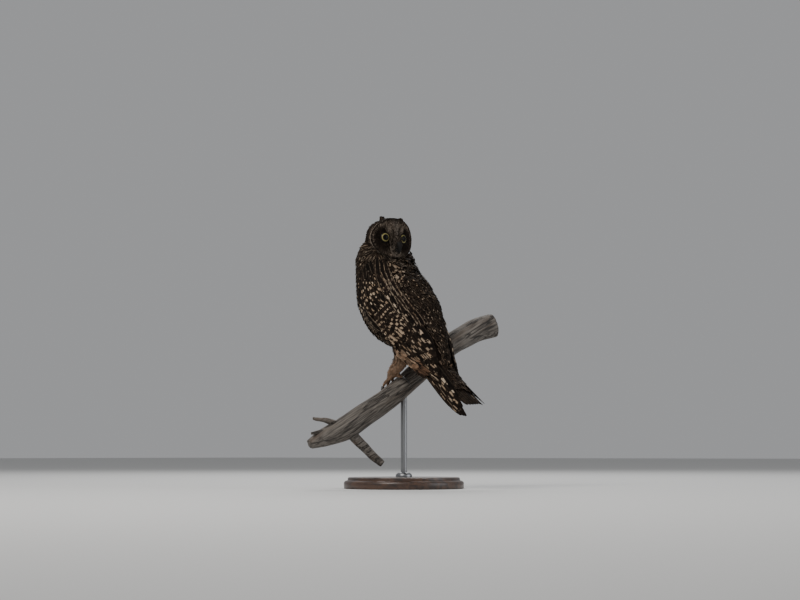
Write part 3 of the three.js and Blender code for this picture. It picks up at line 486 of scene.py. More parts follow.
def feather_mesh(name, places, shares, columns, marks, homes, patch, finish):
    """places is N x rows x columns x 3, in mm. homes is N x 2 on the tract's map, patch its size there."""
    count, rows, wide, _ = places.shape
    mesh = bpy.data.meshes.new(name)
    points = (places * MM).reshape(-1, 3).astype(np.float32)
    mesh.vertices.add(len(points))
    mesh.vertices.foreach_set("co", points.ravel())
    first = np.arange(count)[:, None, None] * rows * wide
    row = np.arange(rows - 1)[None, :, None] * wide
    column = np.arange(wide - 1)[None, None, :]
    corner = (first + row + column).reshape(-1)
    faces = np.stack([corner, corner + 1, corner + wide + 1, corner + wide], -1)
    mesh.loops.add(faces.size)
    mesh.loops.foreach_set("vertex_index", faces.ravel().astype(np.int32))
    mesh.polygons.add(len(faces))
    mesh.polygons.foreach_set("loop_start", (np.arange(len(faces)) * 4).astype(np.int32))
    mesh.polygons.foreach_set("use_smooth", np.ones(len(faces), bool))
    mesh.update(calc_edges=True)
    across = np.broadcast_to(np.asarray(columns)[None, None, :], (count, rows, wide))
    along = np.broadcast_to(np.asarray(shares)[None, :, None], (count, rows, wide))
    layers = {"across": across, "along": along}
    for key in MARKS:
        layers[key] = np.broadcast_to(np.asarray(marks[key], float).reshape(-1, 1, 1), (count, rows, wide))
    for key, values in layers.items():
        layer = mesh.attributes.new(key, "FLOAT", "POINT")
        layer.data.foreach_set("value", values.astype(np.float32).ravel())
    patch = np.broadcast_to(np.asarray(patch, float), (count, 2))
    flat_u = homes[:, None, None, 0] + across * 0.5 * patch[:, None, None, 0]
    flat_v = homes[:, None, None, 1] + (along - 0.5) * patch[:, None, None, 1]
    flat = np.stack([flat_u, flat_v], -1).reshape(-1, 2)[faces.ravel()]
    layer = mesh.uv_layers.new(name="OFBake")
    layer.data.foreach_set("uv", flat.astype(np.float32).ravel())
    mesh.materials.append(finish)
    piece = bpy.data.objects.new(name, mesh)
    bpy.context.collection.objects.link(piece)
    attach(piece, "root")
    print(name, "feathers", count, "triangles", 2 * len(faces))
    return piece


# %% [markdown]
# The skin is the bird without its feathers, in one piece. The body is swept through its sections,
# the head, legs and feet are copies of their solids, and a pad stands for each folded arm. Joined
# solids would show seams, so they are melted together by a voxel remesh, smoothed, and then drawn in
# by the depth of the coat that will stand on them.

# %% Sweeping a tube through rings
def swept(bm, middles, wides, deeps, sides):
    """Rings of sides points, set one after the other and bridged. Wides and deeps carry the half-sizes."""
    loops = []
    for index, (middle, wide, deep) in enumerate(zip(middles, wides, deeps)):
        cap = index in (0, len(middles) - 1)
        made = bmesh.ops.create_circle(bm, cap_ends=cap, segments=sides, radius=1.0)
        ring = made["verts"]
        turned = Matrix((wide, deep, np.cross(wide, deep) / max(1e-6, np.linalg.norm(wide)))).transposed()
        bmesh.ops.transform(bm, matrix=Matrix.Translation(Vector(middle)) @ turned.to_4x4(), verts=ring)
        loops.append(list({edge for vert in ring for edge in vert.link_edges}))
    for first, second in zip(loops, loops[1:]):
        bmesh.ops.bridge_loops(bm, edges=first + second)


def swept_line(bm, line, size_at, rings, sides, sideways=(1, 0, 0)):
    """A tube along a line. size_at gives the half-width and half-depth for a share from 0 to 1."""
    shares = np.linspace(0, 1, rings + 1)
    middles = line.at(shares * line.length)
    ways = line.along(shares * line.length)
    deeps = unit(np.cross(ways, np.array(sideways, float)))
    wides = unit(np.cross(deeps, ways))
    sizes = np.array([size_at(share) for share in shares])
    swept(bm, middles, wides * sizes[:, :1], deeps * sizes[:, 1:], sides)


def new_piece(name, bm, finish, slot, smooth=True, weld=0.0):
    """Ends a piece: metres, outward faces, its material, and the root as its parent when slot is set."""
    if weld:
        bmesh.ops.remove_doubles(bm, verts=bm.verts, dist=weld)
    bmesh.ops.recalc_face_normals(bm, faces=bm.faces)
    bmesh.ops.scale(bm, vec=(MM, MM, MM), verts=bm.verts)
    mesh = bpy.data.meshes.new(name)
    bm.to_mesh(mesh)
    bm.free()
    for polygon in mesh.polygons:
        polygon.use_smooth = smooth
    if finish:
        mesh.materials.append(finish)
    piece = bpy.data.objects.new(name, mesh)
    bpy.context.collection.objects.link(piece)
    if slot:
        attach(piece, "root")
    return piece


# %% [markdown]
# The solids of the head and the legs already have the right shape, so their triangles are copied. The
# trunk is swept through its ovals, a little narrower than the solid, and a padded leaf on each side
# stands for the folded arm. The voxel remesh then melts them all into one closed surface.

# %% The skin's form
def add_mesh(bm, part):
    """Moves a finished part into a larger one."""
    carrier = bpy.data.meshes.new("carrier")
    part.to_mesh(carrier)
    part.free()
    bm.from_mesh(carrier)
    bpy.data.meshes.remove(carrier)


def add_solid_copy(bm, name):
    """A node's own triangles, merged, in mm."""
    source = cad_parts[name]
    part = bmesh.new()
    part.from_mesh(source.data)
    bmesh.ops.transform(part, matrix=source.matrix_world, verts=part.verts)
    bmesh.ops.scale(part, vec=(1 / MM, 1 / MM, 1 / MM), verts=part.verts)
    bmesh.ops.remove_doubles(part, verts=part.verts, dist=0.001)
    add_mesh(bm, part)


form = bmesh.new()
for node in ("head", "thigh_left", "thigh_right", "shank_left", "shank_right", "foot_left", "foot_right"):
    add_solid_copy(form, node)
shares = np.linspace(0, 1, 28)
steps = shares * (len(BODY_SECTIONS) - 1)
section_rows = [(i, row[2], row[3]) for i, row in enumerate(BODY_SECTIONS)]
lengths = body_line.length_at(shares)
middles = body_line.at(lengths)
ways = body_line.along(lengths)
backs = unit(np.stack([0 * ways[:, 0], -ways[:, 2], ways[:, 1]], -1))
narrow = 7 * np.clip((steps - 1) / 1.5, 0, 1) * np.clip((9 - steps) / 3, 0, 1)
half_deep = between(section_rows, steps, 1)
half_wide = between(section_rows, steps, 2) - narrow
swept(form, middles, np.array([(w, 0, 0) for w in half_wide]), backs * half_deep[:, None], 32)
for chart in wing_charts.values():
    rows, columns = 12, 6
    grid = {}
    for face in (0, 1):
        for i in range(rows + 1):
            p = 4 + 180 * i / rows
            low, high = between(WING_OUTLINE, p, 1) + 7, between(WING_OUTLINE, p, 2) - 7
            outer = between([(0, -6), (30, -4.5), (60, -6), (105, -9), (184, -13)], p)
            for j in range(columns + 1):
                e = 2 * j / columns - 1
                swell = math.sqrt(max(0.0, 1 - e * e))
                h = outer - 5 * (1 - swell) if face else outer - 5 - 8 * swell
                grid[face, i, j] = form.verts.new(chart.at(p, low + (high - low) * j / columns, h))
    for face in (0, 1):
        for i in range(rows):
            for j in range(columns):
                form.faces.new([grid[face, i + a, j + b] for a, b in ((0, 0), (1, 0), (1, 1), (0, 1))])
    rim = [(i, 0) for i in range(rows)] + [(rows, j) for j in range(columns)]
    rim += [(i, columns) for i in range(rows, 0, -1)] + [(0, j) for j in range(columns, 0, -1)]
    for a, b in zip(rim, rim[1:] + rim[:1]):
        form.faces.new([grid[0, a[0], a[1]], grid[0, b[0], b[1]], grid[1, b[0], b[1]], grid[1, a[0], a[1]]])
skin = new_piece("skin", form, None, "plumage")
remesh = skin.modifiers.new("melt", "REMESH")
remesh.mode = "VOXEL"
remesh.voxel_size = 0.0019
soften = skin.modifiers.new("soften", "SMOOTH")
soften.factor = 0.5
soften.iterations = 6


def settle_modifiers(piece):
    """Bakes a piece's modifiers into its mesh."""
    bpy.context.view_layer.update()
    ready = piece.evaluated_get(bpy.context.evaluated_depsgraph_get())
    mesh = bpy.data.meshes.new_from_object(ready)
    old = piece.data
    piece.modifiers.clear()
    piece.data = mesh
    mesh.name = piece.name
    bpy.data.meshes.remove(old)


settle_modifiers(skin)
print("skin faces", len(skin.data.polygons))

# %% [markdown]
# The coat is deep on the breast and back, shorter on the head, and thin on the face and toes. The
# skin is drawn in by that depth, which a shrink of the whole piece couldn't do, because it would eat
# the toes.

# %% Drawing the skin in by the coat's depth
def points_of(mesh):
    points = np.empty(len(mesh.vertices) * 3, np.float32)
    mesh.vertices.foreach_get("co", points)
    return points.reshape(-1, 3).astype(float) / MM


def normals_of(mesh):
    normals = np.empty(len(mesh.vertices) * 3, np.float32)
    mesh.vertex_normals.foreach_get("vector", normals)
    return normals.reshape(-1, 3).astype(float)


leg_nodes = [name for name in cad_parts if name.startswith(("foot", "shank", "thigh"))]
foot_boxes = {name: np.array(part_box(name)) / MM for name in leg_nodes}


def inside(points, name, grow):
    low, high = foot_boxes[name]
    return np.all((points > low - grow) & (points < high + grow), axis=1)


def leg_share(points):
    """1 on the toes and shanks, fading to 0 up the thigh."""
    share = np.zeros(len(points))
    for side in ("left", "right"):
        heel_top = foot_boxes[f"shank_{side}"][1][2]
        low = np.clip((heel_top + 14 - points[:, 2]) / 26, 0, 1)
        near = inside(points, f"shank_{side}", 5) | inside(points, f"foot_{side}", 5)
        near = near | inside(points, f"thigh_{side}", 0)
        share = np.maximum(share, np.where(near, low, 0))
    return share


def regions(points):
    """Shares of face, head, legs and the place on the body, for points in mm."""
    local = to_head(points)
    reach = np.hypot(local[:, 0] / FACE_HALF_WIDTH, local[:, 2] / FACE_HALF_HEIGHT)
    forward = -local[:, 1]
    off_face = forward - face_forward(local[:, 0], local[:, 2])
    face = (reach < 1.0) & (off_face > -9) & (off_face < 2.5) & (local[:, 1] < -4)
    distance = np.linalg.norm(local * np.array((1, 1, 1.1)), axis=1)
    head = np.clip((52 - distance) / 12, 0, 1) * np.clip((local[:, 2] + 34) / 10, 0, 1)
    share, dorsal, side = body_place(points)
    return dict(
        local=local, face=face, head=head, leg=leg_share(points), share=share, dorsal=dorsal, side=side
    )


def under_face_share(where):
    """1 on the shelf of neck in front of the chin, where the coat must let the face be seen."""
    local = where["local"]
    return bump_of(local[:, 2] + 29, 13) * bump_of(local[:, 0], 42) * np.clip((-local[:, 1] - 12) / 10, 0, 1)


skin_points = points_of(skin.data)
skin_normals = normals_of(skin.data)
where = regions(skin_points)
on_back = np.clip((where["dorsal"] + 0.1) / 0.5, 0, 1)
below_neck = np.clip((where["share"] - 0.2) / 0.15, 0, 1)
depth = 4.6 + 1.4 * on_back * below_neck
depth = depth + (2.6 - depth) * where["head"]
depth = np.where(where["face"], 1.0, depth)
depth = depth + (1.0 - depth) * where["leg"]
drawn = skin_points - skin_normals * depth[:, None]
local = to_head(drawn)
reach = np.hypot(local[:, 0] / FACE_HALF_WIDTH, local[:, 2] / FACE_HALF_HEIGHT)
held = np.maximum(reach, 1)
limit = face_forward(local[:, 0] / held, local[:, 2] / held) - 1.6 + 38 * np.maximum(0, reach - 0.98)
over = np.maximum(0, -local[:, 1] - limit) * (local[:, 2] < -2) * (local[:, 1] < 0)
local[:, 1] += over
drawn = from_head(local)
skin.data.vertices.foreach_set("co", (drawn * MM).astype(np.float32).ravel())
print("drawn back under the chin by up to", over.max().round(1), "mm")
skin.data.update()
soften = skin.modifiers.new("soften", "SMOOTH")
soften.factor = 0.5
soften.iterations = 3
settle_modifiers(skin)
skin_points = points_of(skin.data)
skin_normals = normals_of(skin.data)
skin_faces = [tuple(polygon.vertices) for polygon in skin.data.polygons]
skin_tree = BVHTree.FromPolygons([tuple(point) for point in skin_points], skin_faces)

# %% [markdown]
# Loose feathers bridge the hollows of the body, such as the one between neck and shoulder. A copy of
# the skin is melted down by many rounds of smoothing, and where it comes to lie above the skin, that
# height is what the coat has to fill.

# %% The hollows that the coat fills
edge_ends = np.empty(len(skin.data.edges) * 2, np.int32)
skin.data.edges.foreach_get("vertices", edge_ends)
edge_ends = edge_ends.reshape(-1, 2)
around = np.bincount(edge_ends.ravel(), minlength=len(skin_points))[:, None]
melted = skin_points.copy()
for _ in range(90):
    total = np.zeros_like(melted)
    for a, b in ((0, 1), (1, 0)):
        for axis in range(3):
            total[:, axis] += np.bincount(edge_ends[:, a], melted[edge_ends[:, b], axis], len(melted))
    melted = total / around
where = regions(skin_points)
hollow = np.clip(((melted - skin_points) * skin_normals).sum(1), 0, 5)
hollow = hollow * (1 - where["leg"]) * ~where["face"] * (1 - np.clip(2 * under_face_share(where), 0, 1))
face_hollow = np.array([hollow[list(face)].mean() for face in skin_faces])
print("skin drawn in, box mm", skin_points.min(0).round(), skin_points.max(0).round())
print("deepest hollow", hollow.max().round(1))

# %% [markdown]
# Each place on the bird has its own pattern. The crown and the neck are finely edged with buff, the
# mantle is dark with a few pale spots, the breast and the belly carry pale drops, and the vent and
# the legs are plain and warm. The same function paints the skin, so that a gap doesn't flash.

# %% The markings of each region
def smooth_step(x, low, high):
    t = np.clip((x - low) / (high - low), 0, 1)
    return t * t * (3 - 2 * t)


def markings(points, random):
    """The marks of feathers that root at these points."""
    place = regions(points)
    count = len(points)
    draw = random.random((count, 5))
    head, leg, share, dorsal = place["head"], place["leg"], place["share"], place["dorsal"]
    local = place["local"]
    belly = smooth_step(-dorsal, -0.1, 0.45)
    low = smooth_step(share, 0.42, 0.66)
    vent = smooth_step(share, 0.6, 0.72) * smooth_step(-dorsal, 0.0, 0.35)
    bold = (draw[:, 4] > 0.55).astype(float)
    lowered = belly * smooth_step(share, 0.24, 0.36)
    marks = {
        "pale": 0.03 + 0.08 * draw[:, 0] + belly * (0.08 + 0.2 * low) * (0.4 + 0.8 * draw[:, 1]),
        "warm": 0.12 + 0.2 * draw[:, 1] + 0.35 * belly * low,
        "streak": 0.75 + 0.25 * draw[:, 2] - 0.45 * belly * low,
        "spot": (draw[:, 3] > 0.86 - 0.42 * lowered) * (0.3 + 0.5 * draw[:, 1] + 0.25 * lowered) * (1 - head),
        "bars": np.zeros(count),
        "edge": 0.06 + 0.16 * draw[:, 0] + 0.55 * bold * draw[:, 2],
        "grey": 0.15 * draw[:, 0],
        "chance": draw[:, 3],
    }
    shoulder = (points[:, 0] > 16) & (points[:, 1] > -32) & (points[:, 1] < 12)
    shoulder = shoulder & (points[:, 2] > 334) & (points[:, 2] < 366) & (draw[:, 4] > 0.72) & (head < 0.1)
    marks["pale"] = np.where(shoulder, 0.45 + 0.3 * draw[:, 1], marks["pale"])
    marks["streak"] = np.where(shoulder, 0.25, marks["streak"])
    neck = smooth_step(share, 0.24, 0.1) * (1 - head)
    marks["edge"] = marks["edge"] + neck * 0.3 * bold
    marks["pale"] = marks["pale"] * (1 - head * 0.4)
    marks["edge"] = marks["edge"] * (1 - head) + head * (0.2 + 0.6 * bold * draw[:, 2])
    for key, value in (("pale", 0.6), ("warm", 0.75), ("streak", 0.08), ("edge", 0.15), ("spot", 0.0)):
        weight = np.maximum(vent * 0.85, leg)
        marks[key] = marks[key] * (1 - weight) + weight * (value + 0.2 * (draw[:, 2] - 0.5))
    chin = bump_of(local[:, 0], 13) * bump_of(local[:, 2] + 38, 6) * (local[:, 1] < -8) * (draw[:, 4] > 0.4)
    marks["pale"] = np.maximum(marks["pale"], 0.45 * chin)
    marks["grey"] = np.maximum(marks["grey"], 0.6 * chin)
    return {key: np.clip(value, 0, 1) for key, value in marks.items()}


skin_marks = markings(skin_points, np.random.default_rng(11))
for key in ("pale", "warm", "grey"):
    layer = skin.data.attributes.new(key, "FLOAT", "POINT")
    layer.data.foreach_set("value", skin_marks[key].astype(np.float32))
down = Finish("down")
down_grain = down.noise(1400, 3, 0.6)
down_dark = down.blend((0.005, 0.0034, 0.0025), (0.016, 0.0105, 0.0075), down_grain)
down_pale = down.blend((0.2, 0.14, 0.09), (0.22, 0.12, 0.07), down.mark("warm"))
down_colour = down.blend(down_dark, down_pale, down.mark("pale").rise(0.25, 0.8))
down.shader.inputs["Specular IOR Level"].default_value = 0.07
skin.data.materials.append(
    down.done(base_color=down_colour, roughness=0.9, normal=down.bump(down_grain, 0.5, 0.0006))
)

# %% [markdown]
# The roots are scattered over the skin like seeds, no two closer than the spacing of their tract.
# A square grid would show as rows, and plain chance would leave bald spots. Each feather then steps
# along the lie of the coat, and its line is pressed back onto the skin at every step, so that it
# hugs the body instead of sticking out straight.

# %% Seeding and laying the coat
seeds = np.random.default_rng(20)
ROOT_CELL = 8
NEIGHBOURS = [(i, j, k) for i in (-1, 0, 1) for j in (-1, 0, 1) for k in (-1, 0, 1)]
STRAY = 0.1


def crowded(spots, index, reach, cells, key):
    """Whether a root that was kept before lies nearer than this one's reach allows."""
    x, y, z = spots[index]
    for i, j, k in NEIGHBOURS:
        for other in cells.get((key[0] + i, key[1] + j, key[2] + k), ()):
            px, py, pz = spots[other]
            if (px - x) ** 2 + (py - y) ** 2 + (pz - z) ** 2 < reach * reach * 0.72:
                return True
    return False


def scattered(points, wanted):
    """Random roots on the skin: wanted gives each vertex its spacing in mm, or 0 for bare."""
    triangles = np.array([t.vertices[:] for t in skin.data.loop_triangles])
    corners = points[triangles]
    spacing = wanted[triangles].min(1)
    first, second = corners[:, 1] - corners[:, 0], corners[:, 2] - corners[:, 0]
    area = np.linalg.norm(np.cross(first, second), axis=1) / 2
    weight = np.where(spacing > 0, area / np.maximum(spacing, 0.5) ** 2, 0)
    total = int(weight.sum() * 3.2)
    chosen = seeds.choice(len(triangles), size=total, p=weight / weight.sum())
    a, b = seeds.random(total), seeds.random(total)
    flip = a + b > 1
    a, b = np.where(flip, 1 - a, a)[:, None], np.where(flip, 1 - b, b)[:, None]
    spots = corners[chosen, 0] + first[chosen] * a + second[chosen] * b
    gap = spacing[chosen]
    cells = {}
    kept = []
    for index in range(total):
        key = tuple(int(value // ROOT_CELL) for value in spots[index])
        if not crowded(spots, index, gap[index], cells, key):
            cells.setdefault(key, []).append(index)
            kept.append(index)
    return spots[kept]


def lie(points):
    """Which way the coat lies at each point, before it is laid flat on the skin."""
    place = regions(points)
    local = place["local"]
    share = place["share"]
    way = body_line.along(body_line.length_at(share))
    from_bill = unit(local - np.array((0, -52, -6))) @ head_turned.T
    down_nape = np.tile((0.0, -0.15, -1.0), (len(points), 1))
    behind = smooth_step(local[:, 1], 2, 20)[:, None]
    on_head = unit(from_bill * (1 - behind) + down_nape * behind)
    weight = smooth_step(place["head"], 0.0, 0.8)[:, None]
    way = unit(way * (1 - weight) + on_head * weight)
    leg = place["leg"][:, None]
    down_leg = np.tile((0.0, -0.35, -1.0), (len(points), 1))
    for side in ("left", "right"):
        toes = inside(points, f"foot_{side}", 1)[:, None]
        middle = foot_boxes[f"foot_{side}"].mean(0)
        outward = unit(points - middle - np.array((0, 0, 20)))
        down_leg = np.where(toes, outward, down_leg)
    return unit(way * (1 - leg) + unit(down_leg) * leg)


def laid_coat(name, roots, lengths, halves, lifts, columns, shape, marks, homes):
    """Feathers that step along the lie of the coat and hug the skin."""
    shares = [row[0] for row in shape]
    widths = np.array([row[1] for row in shape])
    count, rows = len(roots), len(shape)
    ways = lie(roots) + seeds.normal(0, STRAY, (count, 3))
    centres = np.empty((count, rows, 3))
    ups = np.empty((count, rows, 3))
    fills = np.zeros((count, rows, 1))
    for index in range(count):
        way = Vector(ways[index])
        spot = Vector(roots[index])
        last = 0.0
        for row, share in enumerate(shares):
            spot = spot + way * (lengths[index] * (share - last))
            last = share
            near, normal, face_index, _ = skin_tree.find_nearest(spot)
            spot = near
            way = way - normal * way.dot(normal)
            way.normalize()
            centres[index, row] = near
            ups[index, row] = normal
            fills[index, row] = face_hollow[face_index]
    ups = unit(ups + 1e-9)
    share_row = np.array(shares)[None, :, None]
    height = (lifts[:, None, None] + fills) * (share_row ** 0.8) - 0.8 * (1 - share_row)
    centres = centres + ups * height
    ahead = unit(np.gradient(centres, axis=1))
    side = unit(np.cross(ahead, ups))
    across = np.array(columns)[None, None, :, None]
    half = (halves[:, None] * widths[None])[:, :, None, None]
    camber = 0.16 * half * across**2
    places = centres[:, :, None] + side[:, :, None] * across * half - ups[:, :, None] * camber
    piece = feather_mesh(name, places, shares, columns, marks, homes, TUFT_PATCH, plumage)


def homes_of(first, second):
    """Roots on the tract's map, spread over the whole square."""
    flat = np.stack([first, second], -1)
    low, high = flat.min(0), flat.max(0)
    return 0.01 + 0.98 * (flat - low) / (high - low)


# %% [markdown]
# The coat is split into tracts: head, neck and mantle, underparts, and legs. Each has its own
# length, width and spacing of feathers, and stays light enough to be one piece.

# %% The coat's tracts
skin.data.calc_loop_triangles()
where = regions(skin_points)


def under_wing(points, margin=9):
    """True where a folded wing covers the body for good."""
    covered = np.zeros(len(points), bool)
    for chart in wing_charts.values():
        p = np.linspace(14, 235, 56)
        for k in range(5):
            low, high = between(WING_OUTLINE, p, 1) + margin, between(WING_OUTLINE, p, 2) - margin
            q = low + (high - low) * k / 4
            rows = chart.at(p, q, -10)
            near = ((points[:, None] - rows[None]) ** 2).sum(-1).min(1)
            covered |= near < 11**2
    return covered


covered = under_wing(skin_points)
spacing = np.full(len(skin_points), 2.65)
spacing = np.where(where["head"] > 0.05, 1.85, spacing)
spacing = np.where((where["share"] < 0.24) & (where["head"] <= 0.05), 2.3, spacing)
spacing = np.where(where["leg"] > 0.2, 1.7, spacing)
spacing = np.where(where["face"] | covered, 0, spacing)
roots = scattered(skin_points, spacing)
place = regions(roots)
marks = markings(roots, seeds)
slope = place["dorsal"] / np.sqrt(np.maximum(1e-6, 1 - np.minimum(place["dorsal"] ** 2, 0.9999)))
angle = np.arctan2(place["side"], slope * np.abs(place["side"] + 1e-6))
print("roots", len(roots))
tract = np.full(len(roots), "mantle", dtype="<U12")
tract[place["dorsal"] < 0.05] = "underparts"
tract[(place["share"] < 0.24)] = "neck"
tract[place["head"] > 0.05] = "crown"
tract[place["leg"] > 0.2] = "leg"
# For each tract: length, half-width and lift in mm, then the columns and the outline.
SIZES = {
    "mantle": (17, 2.95, 3.7, BODY_COLUMNS, BODY_SHAPE),
    "underparts": (17.5, 3.05, 4.6, BODY_COLUMNS, BODY_SHAPE),
    "neck": (15, 2.35, 4.4, BODY_COLUMNS, BODY_SHAPE),
    "crown": (9.0, 1.8, 2.4, SMALL_COLUMNS, SMALL_SHAPE),
    "leg": (6.0, 1.4, 1.5, SMALL_COLUMNS, SMALL_SHAPE),
}
for key, (length, half, lift, columns, shape) in SIZES.items():
    mine = tract == key
    count = int(mine.sum())
    stretch = seeds.uniform(0.82, 1.15, count)
    fluff = np.ones(count)
    local = place["local"][mine]
    if key == "leg":
        up_leg = np.zeros(count)
        for side in ("left", "right"):
            low, high = foot_boxes[f"shank_{side}"][:, 2]
            near = inside(roots[mine], f"shank_{side}", 6) | inside(roots[mine], f"thigh_{side}", 4)
            up_leg = np.where(near, np.clip((roots[mine][:, 2] - low - 6) / (high - low), 0, 1.3), up_leg)
        stretch *= 0.9 + 1.5 * up_leg
        fluff = 0.9 + 2.6 * up_leg
        homes = homes_of(roots[mine][:, 0], roots[mine][:, 2])
    elif key == "crown":
        outward = np.abs(local[:, 0]) + np.maximum(local[:, 1], 0)
        ruff = smooth_step(-local[:, 2], -6, 20) * smooth_step(outward, 18, 40)
        stretch *= 1 + 0.9 * ruff
        corner = smooth_step(local[:, 2], 6, 22) * smooth_step(-local[:, 0], 6, 20)
        corner = corner * smooth_step(local[:, 1], -24, -8)
        fluff = 1 + 1.2 * ruff + 0.7 * corner
        homes = homes_of(np.arctan2(local[:, 0], -local[:, 1]), local[:, 2])
    else:
        homes = homes_of(angle[mine], place["share"][mine])
    if key == "underparts":
        fluff = fluff - 0.5 * smooth_step(place["share"][mine], 0.42, 0.6)
    far_cheek = smooth_step(local[:, 0], 12, 28) * bump_of(local[:, 2] + 22, 20) * (key != "leg")
    laid_coat(
        f"coat_{key}",
        roots[mine],
        length * stretch * (1 + 0.4 * far_cheek),
        half * seeds.uniform(0.85, 1.15, count) * (0.6 + 0.4 * fluff),
        lift * seeds.uniform(0.7, 1.2, count) * fluff + 3.5 * far_cheek,
        columns,
        shape,
        {name: values[mine] for name, values in marks.items()},
        homes,
    )

# %% [markdown]
# The face is a dish of fine stiff feathers that spread from each eye, black by the eye and grey-brown
# further out, with a pale ring of short close feathers round it all. Between the eyes a pale cross
# runs up into the brows. These feathers are laid on the face's own drawing, ring by ring, because
# their order round the eye is what makes an owl's stare.

# %% The face
def faced(name, x, z, way_x, way_z, length, half, lift, marks):
    """Feathers on the face's drawing: roots x and z, and their way across the face."""
    shares = np.array([row[0] for row in SMALL_SHAPE])
    widths = np.array([row[1] for row in SMALL_SHAPE])
    size = np.maximum(np.hypot(way_x, way_z), 1e-6)
    way_x, way_z = way_x / size, way_z / size
    steps = length[:, None] * shares[None]
    px = x[:, None] + way_x[:, None] * steps
    pz = z[:, None] + way_z[:, None] * steps
    high = lift[:, None] * shares[None] ** 0.8 - 0.4 * (1 - shares[None])

    def on_face(fx, fz, off):
        reach = np.hypot(fx / FACE_HALF_WIDTH, fz / FACE_HALF_HEIGHT)
        over = np.maximum(0, reach - 1.0)
        shrink = 1 / (1 + over * 0.8)
        forward = face_forward(fx * shrink, fz * shrink) - 1.0 - over * 26 + off
        return np.stack([fx * shrink, -forward, fz * shrink], -1)

    sx, sz = -way_z, way_x
    across = np.array(SMALL_COLUMNS)
    half_row = half[:, None] * widths[None]
    fx = px[:, :, None] + sx[:, None, None] * across * half_row[:, :, None]
    fz = pz[:, :, None] + sz[:, None, None] * across * half_row[:, :, None]
    off = np.broadcast_to(high[:, :, None], fx.shape) - 0.2 * half_row[:, :, None] * across**2
    places = from_head(on_face(fx, fz, off))
    homes = homes_of(x, z)
    piece = feather_mesh(name, places, shares, SMALL_COLUMNS, marks, homes, TUFT_PATCH, plumage)


def plain_marks(count, **values):
    marks = {key: np.zeros(count) for key in MARKS}
    marks["chance"] = seeds.random(count)
    for key, value in values.items():
        marks[key] = np.clip(np.broadcast_to(np.asarray(value, float), (count,)).copy(), 0, 1)
    return marks


disc_x, disc_z, disc_way_x, disc_way_z, disc_near, disc_turn = [], [], [], [], [], []
for side in (-1, 1):
    for ring, radius in enumerate(np.arange(8.4, 46, 1.4)):
        around = int(2 * math.pi * radius / 1.1)
        turn = np.linspace(0, 2 * math.pi, around, endpoint=False) + ring * 0.37
        turn = turn + seeds.normal(0, 0.02, around)
        x = side * EYE_SIDE + radius * np.cos(turn) + seeds.normal(0, 0.15, around)
        z = EYE_HEIGHT + radius * np.sin(turn) + seeds.normal(0, 0.15, around)
        keep = (x * side > 0.4) & (np.hypot(x / FACE_HALF_WIDTH, z / FACE_HALF_HEIGHT) < 0.96)
        disc_x.append(x[keep])
        disc_z.append(z[keep])
        disc_way_x.append(np.cos(turn)[keep])
        disc_way_z.append(np.sin(turn)[keep] - 0.12)
        disc_near.append(np.full(keep.sum(), radius))
        disc_turn.append(np.sin(turn)[keep])
parting_x, parting_z = seeds.normal(0, 1.8, 420), seeds.uniform(1, 33, 420)
parting_off = np.hypot(np.abs(parting_x) - EYE_SIDE, parting_z - EYE_HEIGHT)
disc_x.append(parting_x)
disc_z.append(parting_z)
disc_way_x.append(seeds.normal(0, 0.16, 420))
disc_way_z.append(np.ones(420))
disc_near.append(parting_off)
disc_turn.append((parting_z - EYE_HEIGHT) / parting_off)
disc_x, disc_z = np.concatenate(disc_x), np.concatenate(disc_z)
disc_way_x, disc_way_z = np.concatenate(disc_way_x), np.concatenate(disc_way_z)
disc_near, disc_turn = np.concatenate(disc_near), np.concatenate(disc_turn)
central = bump_of(disc_x, 9) * smooth_step(disc_z, -2, 5)
disc_way_x = disc_way_x * (1 - central) + 0.12 * np.sign(disc_x) * central
disc_way_z = disc_way_z * (1 - central) + central
count = len(disc_x)
rank = seeds.random(count)
lateral = (np.abs(disc_x) - EYE_SIDE) / np.maximum(disc_near, 1)
black_edge = 11.2 + 2.2 * np.clip(lateral, 0, 1) + 2.5 * np.clip(-disc_turn, 0, 1)
outer = smooth_step(disc_near - black_edge, -2.0, 5.5)
middle_line = bump_of(disc_x, 7)
cheek = smooth_step(-disc_z, 4, 16) * smooth_step(np.abs(disc_x), 8, 18)
disc_marks = plain_marks(
    count,
    pale=outer * (0.26 + 0.6 * rank**2) * (1 - 0.5 * smooth_step(disc_z, 10, 26)) * (1 - 0.6 * cheek),
    grey=0.5 + 0.3 * middle_line,
    streak=0.3 + 0.5 * (rank < 0.4),
    edge=0.05 + 0.2 * rank * outer,
    warm=0.35,
)
disc_length = np.interp(disc_near, (8, 14, 40), (4.5, 6.5, 8.5)) * seeds.uniform(0.8, 1.2, count)
faced(
    "disc_feathers", disc_x, disc_z, disc_way_x, disc_way_z, disc_length,
    np.full(count, 0.66), np.full(count, 1.5), disc_marks,
)

# %% [markdown]
# A thin pale ring of short feathers edges the disc, and darker ones carry it over onto the head. The
# brows and the bristles round the bill are finer still and stand up a little, so each is listed with
# its own root, way, length and lift, and then they are all laid as one piece.

